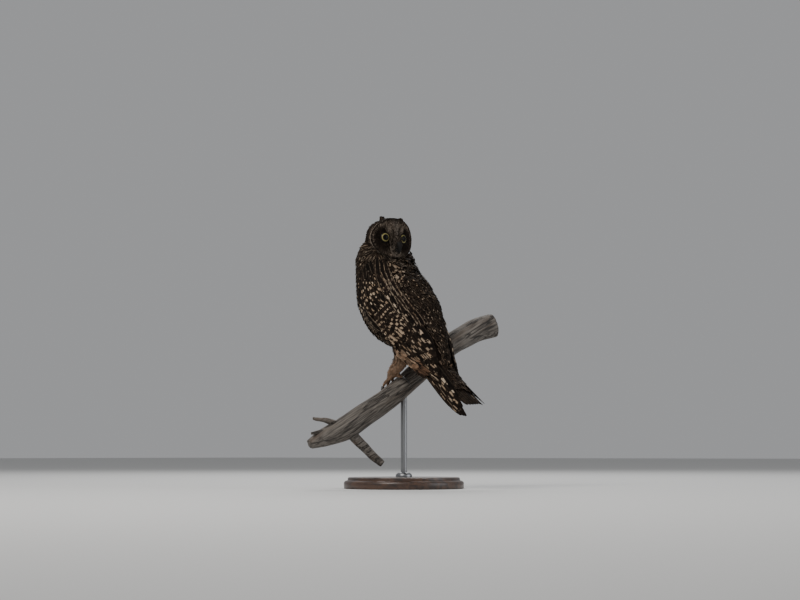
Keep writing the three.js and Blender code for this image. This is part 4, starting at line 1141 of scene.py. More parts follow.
# %% The rim, the brows and the bristles
RIM_ROWS = (
    (0.89, 3.4, 0.08), (0.925, 2.6, 0.14), (0.95, 2.4, 1.0), (0.975, 4.0, 0.05),
    (1.0, 4.6, 0.03), (1.03, 5.4, 0.03), (1.07, 6.4, 0.04), (1.12, 7.2, 0.04),
)
RIM_COUNT = 280
once_round = np.linspace(0, 2 * math.pi, RIM_COUNT, endpoint=False)
turn = np.concatenate([once_round + 0.009 * k for k in range(len(RIM_ROWS))])
level, rim_length, rim_pale = (np.repeat([row[k] for row in RIM_ROWS], RIM_COUNT) for k in range(3))
loose = smooth_step(level, 0.96, 1.04)
turn = turn + loose * seeds.normal(0, 0.012, len(turn))
level = level + loose * seeds.normal(0, 0.009, len(turn))
rim_way = turn + loose * seeds.normal(0, 0.2, len(turn))
rim_x = FACE_HALF_WIDTH * level * np.cos(turn)
rim_z = FACE_HALF_HEIGHT * level * np.sin(turn)
rim_rank = seeds.random(len(turn))
fading = smooth_step(np.abs(np.cos(turn)), 0.25, 0.55)
fading = np.where(np.sin(turn) < 0, smooth_step(np.abs(np.cos(turn)), 0.05, 0.3), fading)
far_low = smooth_step(np.cos(turn), 0.3, 0.8) * smooth_step(-np.sin(turn), 0.0, 0.5) * (level > 0.99)
rim_pale = rim_pale * (rim_rank > 0.15) * (0.1 + 0.9 * fading) * np.where(np.sin(turn) > 0.86, 0.3, 1)
rim_marks = plain_marks(len(turn), pale=rim_pale, grey=0.7, streak=0.3 * (rim_rank > 0.7), edge=0.1)
faced(
    "rim_feathers", rim_x, rim_z, np.cos(rim_way), np.sin(rim_way),
    rim_length * seeds.uniform(0.75, 1.25, len(turn)) * (1 + 0.8 * far_low), np.full(len(turn), 0.8),
    seeds.uniform(1.6, 3.0, len(turn)) + 3.4 * far_low, rim_marks,
)
brow = {key: [] for key in ("x", "z", "way_x", "way_z", "length", "lift", "pale", "grey")}


def add_brow(x, z, way_x, way_z, length, lift, pale, grey):
    for key, value in zip(brow, (x, z, way_x, way_z, length, lift, pale, grey)):
        brow[key].append(value)


for side in (-1, 1):
    for t in np.linspace(0, 1, 52):
        for lane in np.linspace(-1, 1, 8):
            bx = 3.0 + 9.6 * t**0.8 + lane * (1.4 + 1.7 * t)
            bz = -3 + 19.5 * t - lane * (0.8 + 1.4 * t)
            pale = (0.34 + 0.68 * bump_of(t - 0.66, 0.26)) * (1 - 0.5 * abs(lane))
            pale = pale * (0.35 + 0.85 * seeds.random())
            if seeds.random() < 0.45 * abs(lane) + 0.35 * smooth_step(t, 0.75, 1.0):
                continue
            add_brow(
                side * (bx + seeds.normal(0, 0.9)), bz + seeds.normal(0, 0.9),
                side * (0.25 + 0.4 * t + seeds.normal(0, 0.12)), 1.0 - 0.3 * t,
                4.5 + 2.5 * seeds.random(), 1.9 + 1.2 * seeds.random(), pale, 0.55,
            )
    for k in range(520):
        t = seeds.random()
        start = seeds.random()
        root_z = 1.5 - 15 * t + seeds.normal(0, 0.8)
        outward = 1.5 + 9.5 * start * (0.35 + 0.65 * smooth_step(-root_z, 0, 8))
        add_brow(
            side * outward, root_z,
            side * (0.35 - 0.75 * start + 0.35 * seeds.random()), -1.0,
            6 + 5.5 * seeds.random(), 2.0 + 3.4 * seeds.random() * (1 - 0.5 * start),
            0.2 + 0.6 * seeds.random() ** 1.5 * (0.5 + 0.5 * start), 0.75,
        )
    for k in range(420):
        off = seeds.random()
        add_brow(
            side * 5.6 * off, 3.0 + 4.0 * seeds.random() - 5 * off, side * 0.3 * (seeds.random() - 0.4), -1.0,
            6.5 + 5.0 * seeds.random(), 9.6 - 4.0 * off + 1.4 * seeds.random(),
            0.06 + 0.36 * seeds.random() ** 2, 0.75,
        )
    for k in range(150):
        add_brow(
            side * (8.4 + 2.0 * seeds.random()), 7.5 - 15 * seeds.random(), side * 0.2 * seeds.random(), -1.0,
            5.5 + 3.0 * seeds.random(), 4.0 + 3.2 * seeds.random(), 0.05 + 0.3 * seeds.random() ** 2, 0.6,
        )
brow_count = len(brow["x"])
brow_marks = plain_marks(
    brow_count, pale=np.array(brow["pale"]), grey=np.array(brow["grey"]), streak=0.15, edge=0.1, warm=0.2
)
faced(
    "brow_feathers", *(np.array(brow[key]) for key in ("x", "z", "way_x", "way_z", "length")),
    np.full(brow_count, 0.42), np.array(brow["lift"]), brow_marks,
)

# %% [markdown]
# A short-eared owl's ear tufts are only a few small feathers near the middle of the crown. They rise
# a few millimetres here, as in the picture.

# %% The ear tufts
tuft_places = []
tuft_shape = [(0, 0.5), (0.25, 0.85), (0.5, 1.0), (0.72, 0.95), (0.9, 0.7), (1, 0.3)]
for side in (-1, 1):
    for k in range(9):
        spread = (k % 3) - 1
        layer = k // 3
        stray = seeds.normal(0, 1, 5)
        root = np.array((
            side * (17.6 + spread + 0.5 * stray[0]) + 1.6,
            -14.5 + 0.5 * spread + layer * 1.3,
            26.0 - layer * 0.4,
        ))
        lean = unit(np.array((
            side * (0.1 + 0.12 * spread + 0.05 * stray[1]), 0.28 + 0.12 * layer + 0.05 * stray[2], 0.92,
        )))
        wide = unit(np.cross(lean, np.array((0.3 * side, 1.0, 0.2))))
        out = np.cross(lean, wide)
        length = 10.5 - 1.1 * layer - 0.9 * abs(spread) + 0.6 * stray[3]
        rows = []
        for share, width in tuft_shape:
            middle = root + lean * length * share + out * 1.4 * share**2
            rows.append([middle + wide * 3.0 * width * e - out * 0.7 * e * e for e in BODY_COLUMNS])
        tuft_places.append(rows)
tuft_places = np.array(tuft_places)
for name, pick in (("left", slice(0, 9)), ("right", slice(9, 18))):
    chosen = from_head(tuft_places[pick])
    tuft_marks = plain_marks(len(chosen), pale=0.02, streak=0.9, edge=0.25, warm=0.3)
    cells = np.stack([(np.arange(len(chosen)) % 3 + 0.5) / 3, (np.arange(len(chosen)) // 3 + 0.5) / 3], -1)
    tuft = feather_mesh(
        f"tuft_{name}", chosen, [row[0] for row in tuft_shape], BODY_COLUMNS,
        tuft_marks, cells, (0.3, 0.3), plumage,
    )
    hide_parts(f"ear_tuft_{'left' if name == 'left' else 'right'}")

# %% [markdown]
# A folded wing shows its feathers in tiers: small coverts over the shoulder, then rows of larger
# ones, then the secondaries, and the primaries' tips last. Each tier lies under the one before it,
# as roof tiles do, and a tilt across each vane slips its edge over its neighbour's.

# %% Feathers on a chart
def pair(rows, t):
    """A value that runs evenly along a short list."""
    rows = np.array(rows, float)
    at = np.linspace(0, 1, len(rows))
    return np.stack([np.interp(t, at, rows[:, k]) for k in range(rows.shape[1])], -1)


def charted(chart, roots, tips, halves, levels, tilt, shape, columns, root_depth, bow=0.0, settle=0.34):
    """Places of vanes on a chart: roots and tips as p, q, and levels their height off it."""
    shares = np.array([row[0] for row in shape])[None, :, None]
    widths = np.array([row[1] for row in shape])[None, :, None]
    across = np.array(columns)[None, None, :]
    p = roots[:, 0, None, None] + (tips[:, 0] - roots[:, 0])[:, None, None] * shares + 0 * across
    q = roots[:, 1, None, None] + (tips[:, 1] - roots[:, 1])[:, None, None] * shares
    q = q + bow * np.sin(math.pi * shares) + across * halves[:, None, None] * widths
    sunk = np.minimum(1, shares / settle)
    sunk = sunk * sunk * (3 - 2 * sunk)
    h = root_depth + (levels[:, None, None] - root_depth) * sunk
    tilt = np.asarray(tilt, float).reshape(-1, 1, 1)
    h = h - tilt * across * widths + 0.25 * (1 - across**2) * widths
    return chart.at(p, q, h)


BARRED = dict(pale=0.02, bars=0.95, edge=0.04)
TIERS = {
    "primaries": dict(
        count=9, roots=[(128, -4), (156, 12)], tips=[(296, -5), (313, -3), (319, 2), (306, 8), (284, 14)],
        half=6.4, levels=(-8.4, -6.6), tilt=0.9, shape="flight", marks=BARRED,
    ),
    "inner_primaries": dict(
        count=6, roots=[(130, -2), (158, 14)], tips=[(292, -1), (306, 3), (282, 15)],
        half=6.4, levels=(-11.6, -9.6), tilt=0.9, shape="flight", marks=BARRED,
    ),
    "innermost_primaries": dict(
        count=5, roots=[(126, 2), (150, 20)], tips=[(272, 2), (284, 5), (262, 20)],
        half=6.8, levels=(-14.6, -12.6), tilt=0.9, shape="flight", marks=BARRED,
    ),
    "secondaries": dict(
        count=11, roots=[(112, -17), (114, 25)], tips=[(252, 4), (238, 14), (206, 26)],
        half=6.6, levels=(-5.6, -4.0), tilt=0.9, shape="flight", marks=dict(BARRED, spot=0.5),
    ),
    "tertials": dict(
        count=4, roots=[(96, 27), (92, 38)], tips=[(224, 21), (196, 33)],
        half=8.0, levels=(-3.2, -1.6), tilt=0.8, shape="flight", marks=BARRED,
    ),
    "primary_coverts": dict(
        count=6, roots=[(92, -34), (98, -18)], tips=[(158, -17), (172, -5)],
        half=6.0, levels=(-6.2, -5.2), tilt=0.7, shape="covert",
        marks=dict(pale=0.02, bars=0.9, edge=0.05, spot=0.5),
    ),
    "greater_coverts": dict(
        count=12, roots=[(96, -28), (94, 36)], tips=[(160, -13), (150, 37)],
        half=5.8, levels=(-3.4, -2.4), tilt=0.9, shape="covert",
        marks=dict(pale=0.02, spot=0.8, bars=0.95, edge=0.05),
    ),
    "alula": dict(
        count=3, roots=[(60, -42), (64, -35)], tips=[(112, -31), (124, -22)],
        half=5.4, levels=(-3.4, -2.4), tilt=0.4, shape="covert", marks=dict(pale=0.05, bars=0.2, edge=0.4),
    ),
    "median_coverts": dict(
        count=13, roots=[(76, -36), (74, 38)], tips=[(136, -20), (126, 40)],
        half=5.8, levels=(-2.4, -1.8), tilt=0.9, shape="covert", marks=dict(pale=0.02, spot=0.85, edge=0.12),
    ),
}
for row in range(9):
    start, end = 5 + row * 8.2, 30 + row * 10.2
    lower, upper = between(WING_OUTLINE, start + 8, 1) + 5, between(WING_OUTLINE, start + 8, 2) - 6
    tip_low, tip_high = between(WING_OUTLINE, end, 1) + 3, between(WING_OUTLINE, end, 2) - 3
    TIERS[f"lesser_coverts_{row}"] = dict(
        count=(9, 13, 16, 17, 18, 18, 17, 16, 15)[row], roots=[(start, lower), (start, upper)],
        tips=[(end, tip_low), (end - 2, tip_high)], half=4.0 + 0.15 * row,
        levels=(1.2 - 0.38 * row, 1.4 - 0.38 * row), tilt=0.7, shape="covert",
        marks=dict(pale=0.02, spot=min(0.9, 0.3 + 0.08 * row), edge=0.12),
    )
for row in range(3):
    TIERS[f"scapulars_{row}"] = dict(
        count=7, roots=[(8 + row * 4, 24 + row * 7), (106 + row * 4, 33 + row * 6)],
        tips=[(62 + row * 4, 22 + row * 8), (160 + row * 2, 30 + row * 6)],
        half=5.6, levels=(2.0 - 0.5 * row, 0.8 - 0.5 * row), tilt=0.5, shape="covert",
        marks=dict(pale=0.02, spot=(0.7, 0.3, 0.2)[row], edge=(0.55, 0.6, 0.45)[row]),
    )
# Each form has its outline, its columns, and how far its tips stray along and across the wing.
FORMS = {
    "flight": (FLIGHT_SHAPE, FLIGHT_COLUMNS, (1.2, 0.4)),
    "covert": (COVERT_SHAPE, BODY_COLUMNS, (2.6, 1.5)),
}


def hugging(places, allowed):
    """Draws the shoulder's coverts down to the body, where the chart stands off it."""
    flat = places.reshape(-1, 3)
    near = np.array([skin_tree.find_nearest(Vector(spot))[0] for spot in flat])
    off = flat - near
    gap = np.linalg.norm(off, axis=1)
    pull = np.clip((gap - allowed) / np.maximum(gap, 1e-6), 0, 1) * 0.85
    return (flat - off * pull[:, None]).reshape(places.shape)


def wing_vanes(chart):
    """All vanes of one folded wing, as groups of equal shape."""
    groups = {"flight": [], "covert": []}
    for name, tier in TIERS.items():
        t = np.linspace(0, 1, tier["count"])
        shape, columns, stray = FORMS[tier["shape"]]
        jitter = seeds.normal(0, 1, (tier["count"], 2)) * stray
        roots, tips = pair(tier["roots"], t), pair(tier["tips"], t) + jitter
        levels = np.interp(t, (0, 1), tier["levels"]) + seeds.normal(0, 0.08, tier["count"])
        halves = tier["half"] * seeds.uniform(0.92, 1.08, tier["count"])
        depth = tier["levels"][0] - 3.4 if tier["shape"] == "covert" else min(-11.5, tier["levels"][0] - 2.0)
        places = charted(chart, roots, tips, halves, levels, tier["tilt"], shape, columns, depth)
        if name.startswith(("lesser", "scapular", "median")):
            places = hugging(places, 5.6 + tier["levels"][0])
        chance = seeds.random((tier["count"], 3))
        marks = plain_marks(tier["count"], warm=0.1 + 0.2 * chance[:, 0], grey=0.12 * chance[:, 1])
        for key, value in tier["marks"].items():
            marks[key] = np.clip(value * (0.8 + 0.4 * chance[:, 2]), 0, 1)
        groups[tier["shape"]].append((places, marks))
    return groups


def cell_homes(count):
    """A cell of the map for each vane, so that long vanes don't share a patch."""
    wide = math.ceil(math.sqrt(count))
    index = np.arange(count)
    homes = np.stack([(index % wide + 0.5) / wide, (index // wide + 0.5) / wide], -1)
    return homes, (0.9 / wide, 0.9 / wide)


def joined_marks(groups):
    return {key: np.concatenate([marks[key] for _, marks in groups]) for key in MARKS}


for name, chart in wing_charts.items():
    groups = wing_vanes(chart)
    for kind, finish, slot in (("flight", flight_plumage, "flight_feathers"), ("covert", plumage, "plumage")):
        places = np.concatenate([places for places, _ in groups[kind]])
        homes, patch = cell_homes(len(places))
        shape, columns, _ = FORMS[kind]
        vanes = feather_mesh(
            f"wing_{name}_{kind}", places, [row[0] for row in shape], columns,
            joined_marks(groups[kind]), homes, patch, finish,
        )
        if kind == "covert":
            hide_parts(f"wing_{name}")

# %% [markdown]
# Long soft feathers of the flank and the thigh are tucked over the lower edge of each folded wing.
# In the picture they show as a tan strip from the leg to the vent.

# %% The flank's feathers over the wing
for name, chart in wing_charts.items():
    count = 200
    t = seeds.random(count)
    start = 158 + 50 * t
    drop = np.interp(start, (158, 190, 215), (-23, -14, -8)) + seeds.uniform(-6, 5.5, count)
    reach = seeds.uniform(9, 24, count)
    roots = np.stack([start, drop], -1)
    tips = np.stack([start + reach, drop + reach * 0.22 + seeds.normal(0, 2.4, count)], -1)
    levels = seeds.uniform(-5.6, -2.6, count)
    halves = seeds.uniform(1.4, 2.4, count)
    places = charted(
        chart, roots, tips, halves, levels, 0.3, COVERT_SHAPE, BODY_COLUMNS, -10.0, settle=0.5
    )
    warm_share = 0.6 + 0.4 * smooth_step(t, 0.45, 0.8)
    tone = np.where(seeds.random(count) > 0.22, 0.3 + 0.45 * seeds.random(count), 0.04)
    tone = tone * (1 - 0.5 * smooth_step(t, 0.6, 1.0))
    fluff_marks = plain_marks(count, pale=tone, warm=warm_share, streak=0.25, edge=0.1)
    homes, patch = cell_homes(count)
    fluff_piece = feather_mesh(
        f"flank_{name}", places, [row[0] for row in COVERT_SHAPE], BODY_COLUMNS,
        fluff_marks, homes, patch, plumage,
    )

# %% [markdown]
# The tail's twelve feathers lie in a low stack, the middle pair on top. Short coverts cover their
# roots above and below.

# %% The tail
order = np.arange(12) - 5.5
stack = np.abs(order) - 0.5 + (order < 0) * 0.5
tail_roots = np.stack([np.full(12, 14.0), order * 2.0], -1)
tail_tips = np.stack([tail_chart.line.length - 7 * (order / 5.5) ** 2, order * 3.45], -1)
tail_places = charted(
    tail_chart, tail_roots, tail_tips, np.full(12, 6.2), -0.4 - 0.62 * stack, 0.0, FLIGHT_SHAPE,
    FLIGHT_COLUMNS, -6.0,
)
tail_marks = plain_marks(12, pale=0.0, bars=0.35, edge=0.1, warm=0.2)
homes, patch = cell_homes(12)
tail_vanes = feather_mesh(
    "tail_flight", tail_places, [row[0] for row in FLIGHT_SHAPE], FLIGHT_COLUMNS,
    tail_marks, homes, patch, flight_plumage,
)
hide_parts("tail")
cover_groups = []
for level, step, rows in ((11.0, -1.5, 7), (-9.8, 0.5, 6)):
    for row in range(rows):
        above = level > 0
        count = 9 if above else 8
        spread = np.linspace(-1, 1, count)
        start, end = -22 + row * 9, 16 + row * (12 if above else 13)
        roots = np.stack([np.full(count, float(start)), spread * 15], -1)
        tip_ends = end - 5 * spread**2 + seeds.normal(0, 3, count)
        tips = np.stack([tip_ends, spread * 17 + seeds.normal(0, 1, count)], -1)
        heights = level + step * row + seeds.normal(0, 0.4, count)
        root_depth = -4.0 if above else -6.0
        halves = np.full(count, 4.8)
        places = charted(
            tail_chart, roots, tips, halves, heights, 0.0, COVERT_SHAPE, BODY_COLUMNS, root_depth
        )
        pale, warm = (0.03, 0.3) if above else (0.6, 0.7)
        cover_marks = plain_marks(count, pale=pale, streak=0.4, edge=0.25, warm=warm, spot=0.15 * above)
        cover_groups.append((places, cover_marks))
cover_places = np.concatenate([places for places, _ in cover_groups])
homes, patch = cell_homes(len(cover_places))
covers = feather_mesh(
    "tail_coverts", cover_places, [row[0] for row in COVERT_SHAPE], BODY_COLUMNS,
    joined_marks(cover_groups), homes, patch, plumage,
)
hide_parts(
    "torso", "neck", "head", "thigh_left", "thigh_right", "shank_left", "shank_right",
    "foot_left", "foot_right",
)

# %% [markdown]
# The eyes are what the picture is about: a thin yellow ring round a wide black pupil, under a wet
# shine. Each eye is a ball with its iris painted by the angle from the way it looks. A ring of dark
# lid closes the gap to the face.

# %% The eyes
def eye_finish(name, middle, look):
    eye = Finish(name)
    off = eye.vector("SUBTRACT", eye.place(), tuple(middle * MM))
    facing = eye.vector("DOT_PRODUCT", eye.vector("NORMALIZE", off), tuple(look), out="Value")
    fibres = eye.noise(2600, 2, 0.6)
    fleck = eye.noise(900, 2, 0.5)
    yellow = eye.blend((0.19, 0.155, 0.045), (0.31, 0.28, 0.12), fibres)
    yellow = eye.blend(yellow, (0.12, 0.085, 0.025), fleck.rise(0.5, 0.75) * 0.6)
    pupil_edge, iris_edge = math.cos(math.asin(4.8 / EYE_RADIUS)), math.cos(math.asin(6.8 / EYE_RADIUS))
    yellow = eye.blend(yellow, (0.03, 0.022, 0.01), facing.fall(iris_edge - 0.01, iris_edge + 0.07))
    yellow = eye.blend(yellow, (0.05, 0.04, 0.012), facing.rise(pupil_edge - 0.035, pupil_edge))
    colour = eye.blend(yellow, (0.002, 0.002, 0.002), facing.rise(pupil_edge - 0.004, pupil_edge + 0.004))
    colour = eye.blend((0.012, 0.01, 0.009), colour, facing.rise(iris_edge - 0.012, iris_edge + 0.002))
    eye.shader.inputs["Coat Weight"].default_value = 0.1
    eye.shader.inputs["Coat Roughness"].default_value = 0.02
    eye.shader.inputs["Specular IOR Level"].default_value = 0.06
    return eye.done(base_color=colour, roughness=0.4)


lid_finish = Finish("lid")
lid_grain = lid_finish.noise(1800, 3)
lid_finish.shader.inputs["Specular IOR Level"].default_value = 0.1
lid_skin = lid_finish.done(
    base_color=lid_finish.blend((0.003, 0.0025, 0.0025), (0.01, 0.008, 0.007), lid_grain),
    roughness=0.7,
    normal=lid_finish.bump(lid_grain, 0.4, 0.0003),
)
for side, name in ((-1, "left"), (1, "right")):
    # The head is turned right round, so its own left and right change places.
    middle = from_head((side * EYE_SIDE, -EYE_FORWARD, EYE_HEIGHT))
    look = unit(np.array((side * 0.2, -0.975, 0.03))) @ head_turned.T
    boxes = {node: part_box(node) for node in ("eye_left", "eye_right")}
    node = min(boxes, key=lambda n: abs((boxes[n][0][0] + boxes[n][1][0]) / 2 / MM - middle[0]))
    ball = bmesh.new()
    bmesh.ops.create_uvsphere(ball, u_segments=40, v_segments=28, radius=EYE_RADIUS)
    tilt = Vector((0, 0, 1)).rotation_difference(Vector(look)).to_matrix().to_4x4()
    bmesh.ops.transform(ball, matrix=Matrix.Translation(Vector(middle)) @ tilt, verts=ball.verts)
    eye = new_piece(f"eyeball_{name}", ball, eye_finish(f"eye_{name}", middle, look), "eye")
    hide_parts(node)
    lid = bmesh.new()
    ring = bmesh.ops.create_circle(lid, cap_ends=False, segments=10, radius=1.0)["verts"]
    bmesh.ops.scale(lid, vec=(1.1, 0.8, 1), verts=ring)
    bmesh.ops.rotate(lid, cent=(0, 0, 0), matrix=Matrix.Rotation(math.pi / 2, 3, "X"), verts=ring)
    bmesh.ops.translate(lid, vec=(EYE_OPENING + 0.3, 0, 0), verts=ring)
    bmesh.ops.spin(
        lid, geom=lid.verts[:] + lid.edges[:], cent=(0, 0, 0), axis=(0, 0, 1), angle=2 * math.pi,
        steps=48, use_merge=True,
    )
    forward = math.sqrt(EYE_RADIUS**2 - EYE_OPENING**2)
    lift = Matrix.Translation(Vector(middle + look * (forward + 0.1)))
    bmesh.ops.transform(lid, matrix=lift @ tilt, verts=lid.verts)
    new_piece(f"lid_{name}", lid, lid_skin, "horn", weld=0.01)

# %% [markdown]
# The bill is small and deeply set in the bristles, black, with a hooked tip and a nostril on each
# side of its base, a small dent with painted shade in it. Each half is a tube swept through many rings
# along its own curve.

# %% The bill
BILL_UPPER = [
    (-22, -3, 5.2, 5.6), (-29.5, -4, 4.8, 5.4), (-34.2, -8.5, 4.2, 4.8),
    (-36.6, -14.5, 3.4, 3.9), (-36.0, -21, 2.3, 2.7), (-34.0, -26.5, 0.6, 0.8),
]
BILL_LOWER = [
    (-22, -15, 4.0, 3.2), (-27, -16.6, 3.6, 2.6), (-30.4, -19.8, 2.4, 1.8), (-32.2, -22.6, 1.0, 0.8),
]
horn = Finish("bill_horn")
horn_grain = horn.noise(700, 4, 0.6)
horn_scratch = horn.noise(2600, 2, 0.6)
nostrils = [from_head((side * 4.0, -33.5, -7.5)) for side in (-1, 1)]
nostril_dent_and_shade = None
for nostril in nostrils:
    gap = horn.vector("DISTANCE", horn.place(), tuple(nostril * MM), out="Value")
    one_nostril_dent_and_shade = gap.fall(0.0011, 0.0017)
    nostril_dent_and_shade = one_nostril_dent_and_shade if nostril_dent_and_shade is None else nostril_dent_and_shade.most(one_nostril_dent_and_shade)
horn.shader.inputs["Specular IOR Level"].default_value = 0.14
horn_colour = horn.blend((0.004, 0.004, 0.004), (0.014, 0.012, 0.011), horn_grain)
# Each nostril is painted as a near-black spot, the painted shade inside its hole; the same spot also dents
# the bump.
horn_colour = horn.blend(horn_colour, (0.001, 0.001, 0.001), nostril_dent_and_shade)
black_horn = horn.done(
    base_color=horn_colour,
    roughness=0.45 + 0.3 * horn_grain,
    normal=horn.bump(horn_scratch * 0.3 - nostril_dent_and_shade * 6.0, 0.5, 0.0003),
)
for name, rows, node in (("bill_top", BILL_UPPER, "bill_upper"), ("bill_bottom", BILL_LOWER, "bill_lower")):
    line = Line([from_head((0, y, z)) for y, z, _, _ in rows])
    widths = [(i / (len(rows) - 1), row[2], row[3]) for i, row in enumerate(rows)]
    sideways = head_turned @ np.array((1, 0, 0))

    def bill_size(share, widths=widths, line=line):
        at = float(np.interp(share * line.length, line.steps, line.shares))
        return between(widths, at, 1), between(widths, at, 2)

    bill = bmesh.new()
    swept_line(bill, line, bill_size, 22, 20, sideways)
    piece = new_piece(name, bill, black_horn, "horn", weld=0.01)
    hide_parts(node)

# %% [markdown]
# The feet hold a round branch, so toes and claws are measured as angles round it. The branch's line
# and the place of each foot are the solids' own, and the claws and the branch both use them.

# %% The branch's line and the grip of the feet
BRANCH_RADIUS = 17.5
BRANCH = [
    (159, -47, -230, 8), (139, -41, -221, 14), (99, -27.5, -205, 19.5), (68, -16.5, -184.5, 19),
    (36, -5.5, -164.5, 17.6), (4.5, 6, -141, 17.5), (-40.5, 22.5, -102, 17.5), (-86, 39, -66.5, 18.2),
    (-109, 48, -53.5, 19), (-126, 54.5, -44.5, 19.5), (-156, 66, -35.5, 20),
]
branch_line = Line(on_body([row[:3] for row in BRANCH]))
FEET = {"left": (1, 0.5), "right": (-1, 0.605)}
TOES = {
    "inner": (64, (4, 4), 4.0),
    "middle": (66, (-2, -8), 4.0),
    "outer": (46, (-6, -19), 3.8),
    "hind": (-46, (2, 6), 3.8),
}
CLAW_LENGTH, CLAW_ROOT, CLAW_TIP = 15, 2.6, 0.45


def grip(side_name):
    side, share = FEET[side_name]
    length = branch_line.length_at(share)
    middle, along = branch_line.at(length), -branch_line.along(length)
    up = unit(np.array((0, 0, 1.0)) - along * along[2])
    forward = unit(np.cross(along, up))
    if forward[1] > 0:
        forward = -forward
    return side, middle, along, up, forward


def on_grip(held, angle, shift, height):
    _, middle, along, up, forward = held
    angle = math.radians(angle)
    radius = BRANCH_RADIUS + 0.9 + height
    return middle + along * shift + up * radius * math.cos(angle) + forward * radius * math.sin(angle)


# %% [markdown]
# The claws are black, round and evenly curved to a point. Each follows its own solid: a tube along
# the same arc round the branch.

# %% The claws
claw_finish = Finish("claw_horn")
claw_grain = claw_finish.noise(900, 3, 0.6)
claw_black = claw_finish.done(
    base_color=claw_finish.blend((0.007, 0.007, 0.008), (0.04, 0.036, 0.034), claw_grain),
    roughness=0.2 + 0.25 * claw_grain,
    normal=claw_finish.bump(claw_grain, 0.25, 0.0002),
)
for side_name in FEET:
    held = grip(side_name)
    side = held[0]
    for toe, (reach, shift, tip_height) in TOES.items():
        way = math.copysign(1, reach)
        arc = math.degrees(CLAW_LENGTH / (BRANCH_RADIUS + 3))
        start = -shift[1] * side
        end = start - (shift[1] - shift[0]) * 0.3 * side
        points = [
            on_grip(held, reach - way * 4, start, tip_height - 0.4),
            on_grip(held, reach + way * arc * 0.3, start + (end - start) * 0.4, tip_height + 1.2),
            on_grip(held, reach + way * arc * 0.65, start + (end - start) * 0.7, tip_height - 0.2),
            on_grip(held, reach + way * arc, end, 1.4),
        ]
        claw = bmesh.new()
        swept_line(
            claw, Line(points), lambda t: (CLAW_ROOT + (CLAW_TIP - CLAW_ROOT) * t**0.8,) * 2, 14, 12, held[2]
        )
        piece = new_piece(f"talon_{side_name}_{toe}", claw, claw_black, "horn", weld=0.01)
        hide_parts(f"claw_{side_name}_{toe}")

# %% [markdown]
# The branch is old dead wood: bark long gone, grey, cracked along its grain, with a few knots and
# broken twigs. Its form is swept and then roughened by noise that is stretched along the wood.

# %% The branch
def wood_push(line, bm):
    """Roughens a swept limb with lumps and cracks stretched along it."""
    for vert in bm.verts:
        near = np.argmin(((line.points - np.array(vert.co)) ** 2).sum(1))
        middle, along = line.points[near], line.ways[near]
        off = np.array(vert.co) - middle
        off = off - along * off.dot(along)
        reach = np.linalg.norm(off)
        if reach < 1e-3:
            continue
        out = off / reach
        turn = math.atan2(out.dot(unit(np.cross(along, (0, 0, 1.0)))), out[2])
        length = line.steps[near]
        spot = Vector((math.cos(turn) * 1.6, math.sin(turn) * 1.6, length / 55))
        lump = noise.noise(spot) * 1.3
        streak = noise.noise(Vector((math.cos(turn) * 4, math.sin(turn) * 4, length / 130 + 9)))
        crack = -1.1 * max(0.0, 1 - abs(streak) * 9)
        vert.co = Vector(np.array(vert.co) + out * (lump + crack - 0.4))


branch = bmesh.new()
branch_rows = [(i / (len(BRANCH) - 1), row[3]) for i, row in enumerate(BRANCH)]
shares = np.linspace(0, 1, 91)
lengths = branch_line.length_at(shares)
middles = branch_line.at(lengths)
ways = branch_line.along(lengths)
wides = unit(np.cross(ways, (0, 0, 1.0)))
deeps = unit(np.cross(wides, ways))
radii = between(branch_rows, shares)[:, None]
swept(branch, middles, wides * radii, deeps * radii, 48)
wood_push(branch_line, branch)
for rows in (
    [(92, -25, -208, 10), (84, -20, -221, 9), (70, -11, -237, 8), (58, -3, -251, 7.5), (48, 4, -261, 6)],
    [(114, -30, -206, 7), (138, -36, -210, 4.5), (160, -43, -214, 2.4)],
    [(108, -30, -203, 7), (127, -37, -195, 5), (153, -46, -191, 2.6)],
):
    limb_line = Line(on_body([row[:3] for row in rows]))
    limb_rows = [(i / (len(rows) - 1), row[3]) for i, row in enumerate(rows)]
    limb = bmesh.new()
    swept_line(limb, limb_line, lambda t, r=limb_rows: (between(r, t), between(r, t) * 0.85), 20, 20)
    for vert in limb.verts:
        rough = noise.noise(Vector(vert.co) / 9) * 0.7
        vert.co = vert.co + vert.normal * rough
    add_mesh(branch, limb)
layer = branch.loops.layers.uv.new("grain")
for face in branch.faces:
    for loop in face.loops:
        co = np.array(loop.vert.co)
        near = np.argmin(((branch_line.points[::4] - co) ** 2).sum(1)) * 4
        off = co - branch_line.points[near]
        turn = math.atan2(off.dot(unit(np.cross(branch_line.ways[near], (0, 0, 1.0)))), off[2])
        loop[layer].uv = (turn / (2 * math.pi) + 0.5, branch_line.steps[near] / 400)
wood = Finish("weathered_wood")
grain_line = unit(on_body(BRANCH[-1][:3]) - on_body(BRANCH[0][:3]))
along_wood = wood.vector("DOT_PRODUCT", wood.place(), tuple(grain_line), out="Value")
stretch = wood.vector("SUBTRACT", wood.place(), wood.node(
    "ShaderNodeVectorMath", {"operation": "SCALE"}, {0: tuple(grain_line), "Scale": along_wood * 0.93}
))
fibre = wood.noise(420, 5, 0.62, where=stretch, twist=0.3)
broad = wood.noise(60, 3, 0.5, where=stretch)
stain = wood.noise(24, 3, 0.5)
crack = (wood.noise(95, 2, 0.5, where=stretch) - 0.5).size().fall(0.004, 0.028)
wood_colour = wood.blend((0.034, 0.027, 0.022), (0.19, 0.168, 0.145), fibre.rise(0.3, 0.72))
wood_colour = wood.blend(wood_colour, (0.085, 0.058, 0.04), broad.rise(0.48, 0.72) * 0.7)
wood_colour = wood.blend(wood_colour, (0.23, 0.21, 0.19), stain.rise(0.52, 0.75) * 0.5)
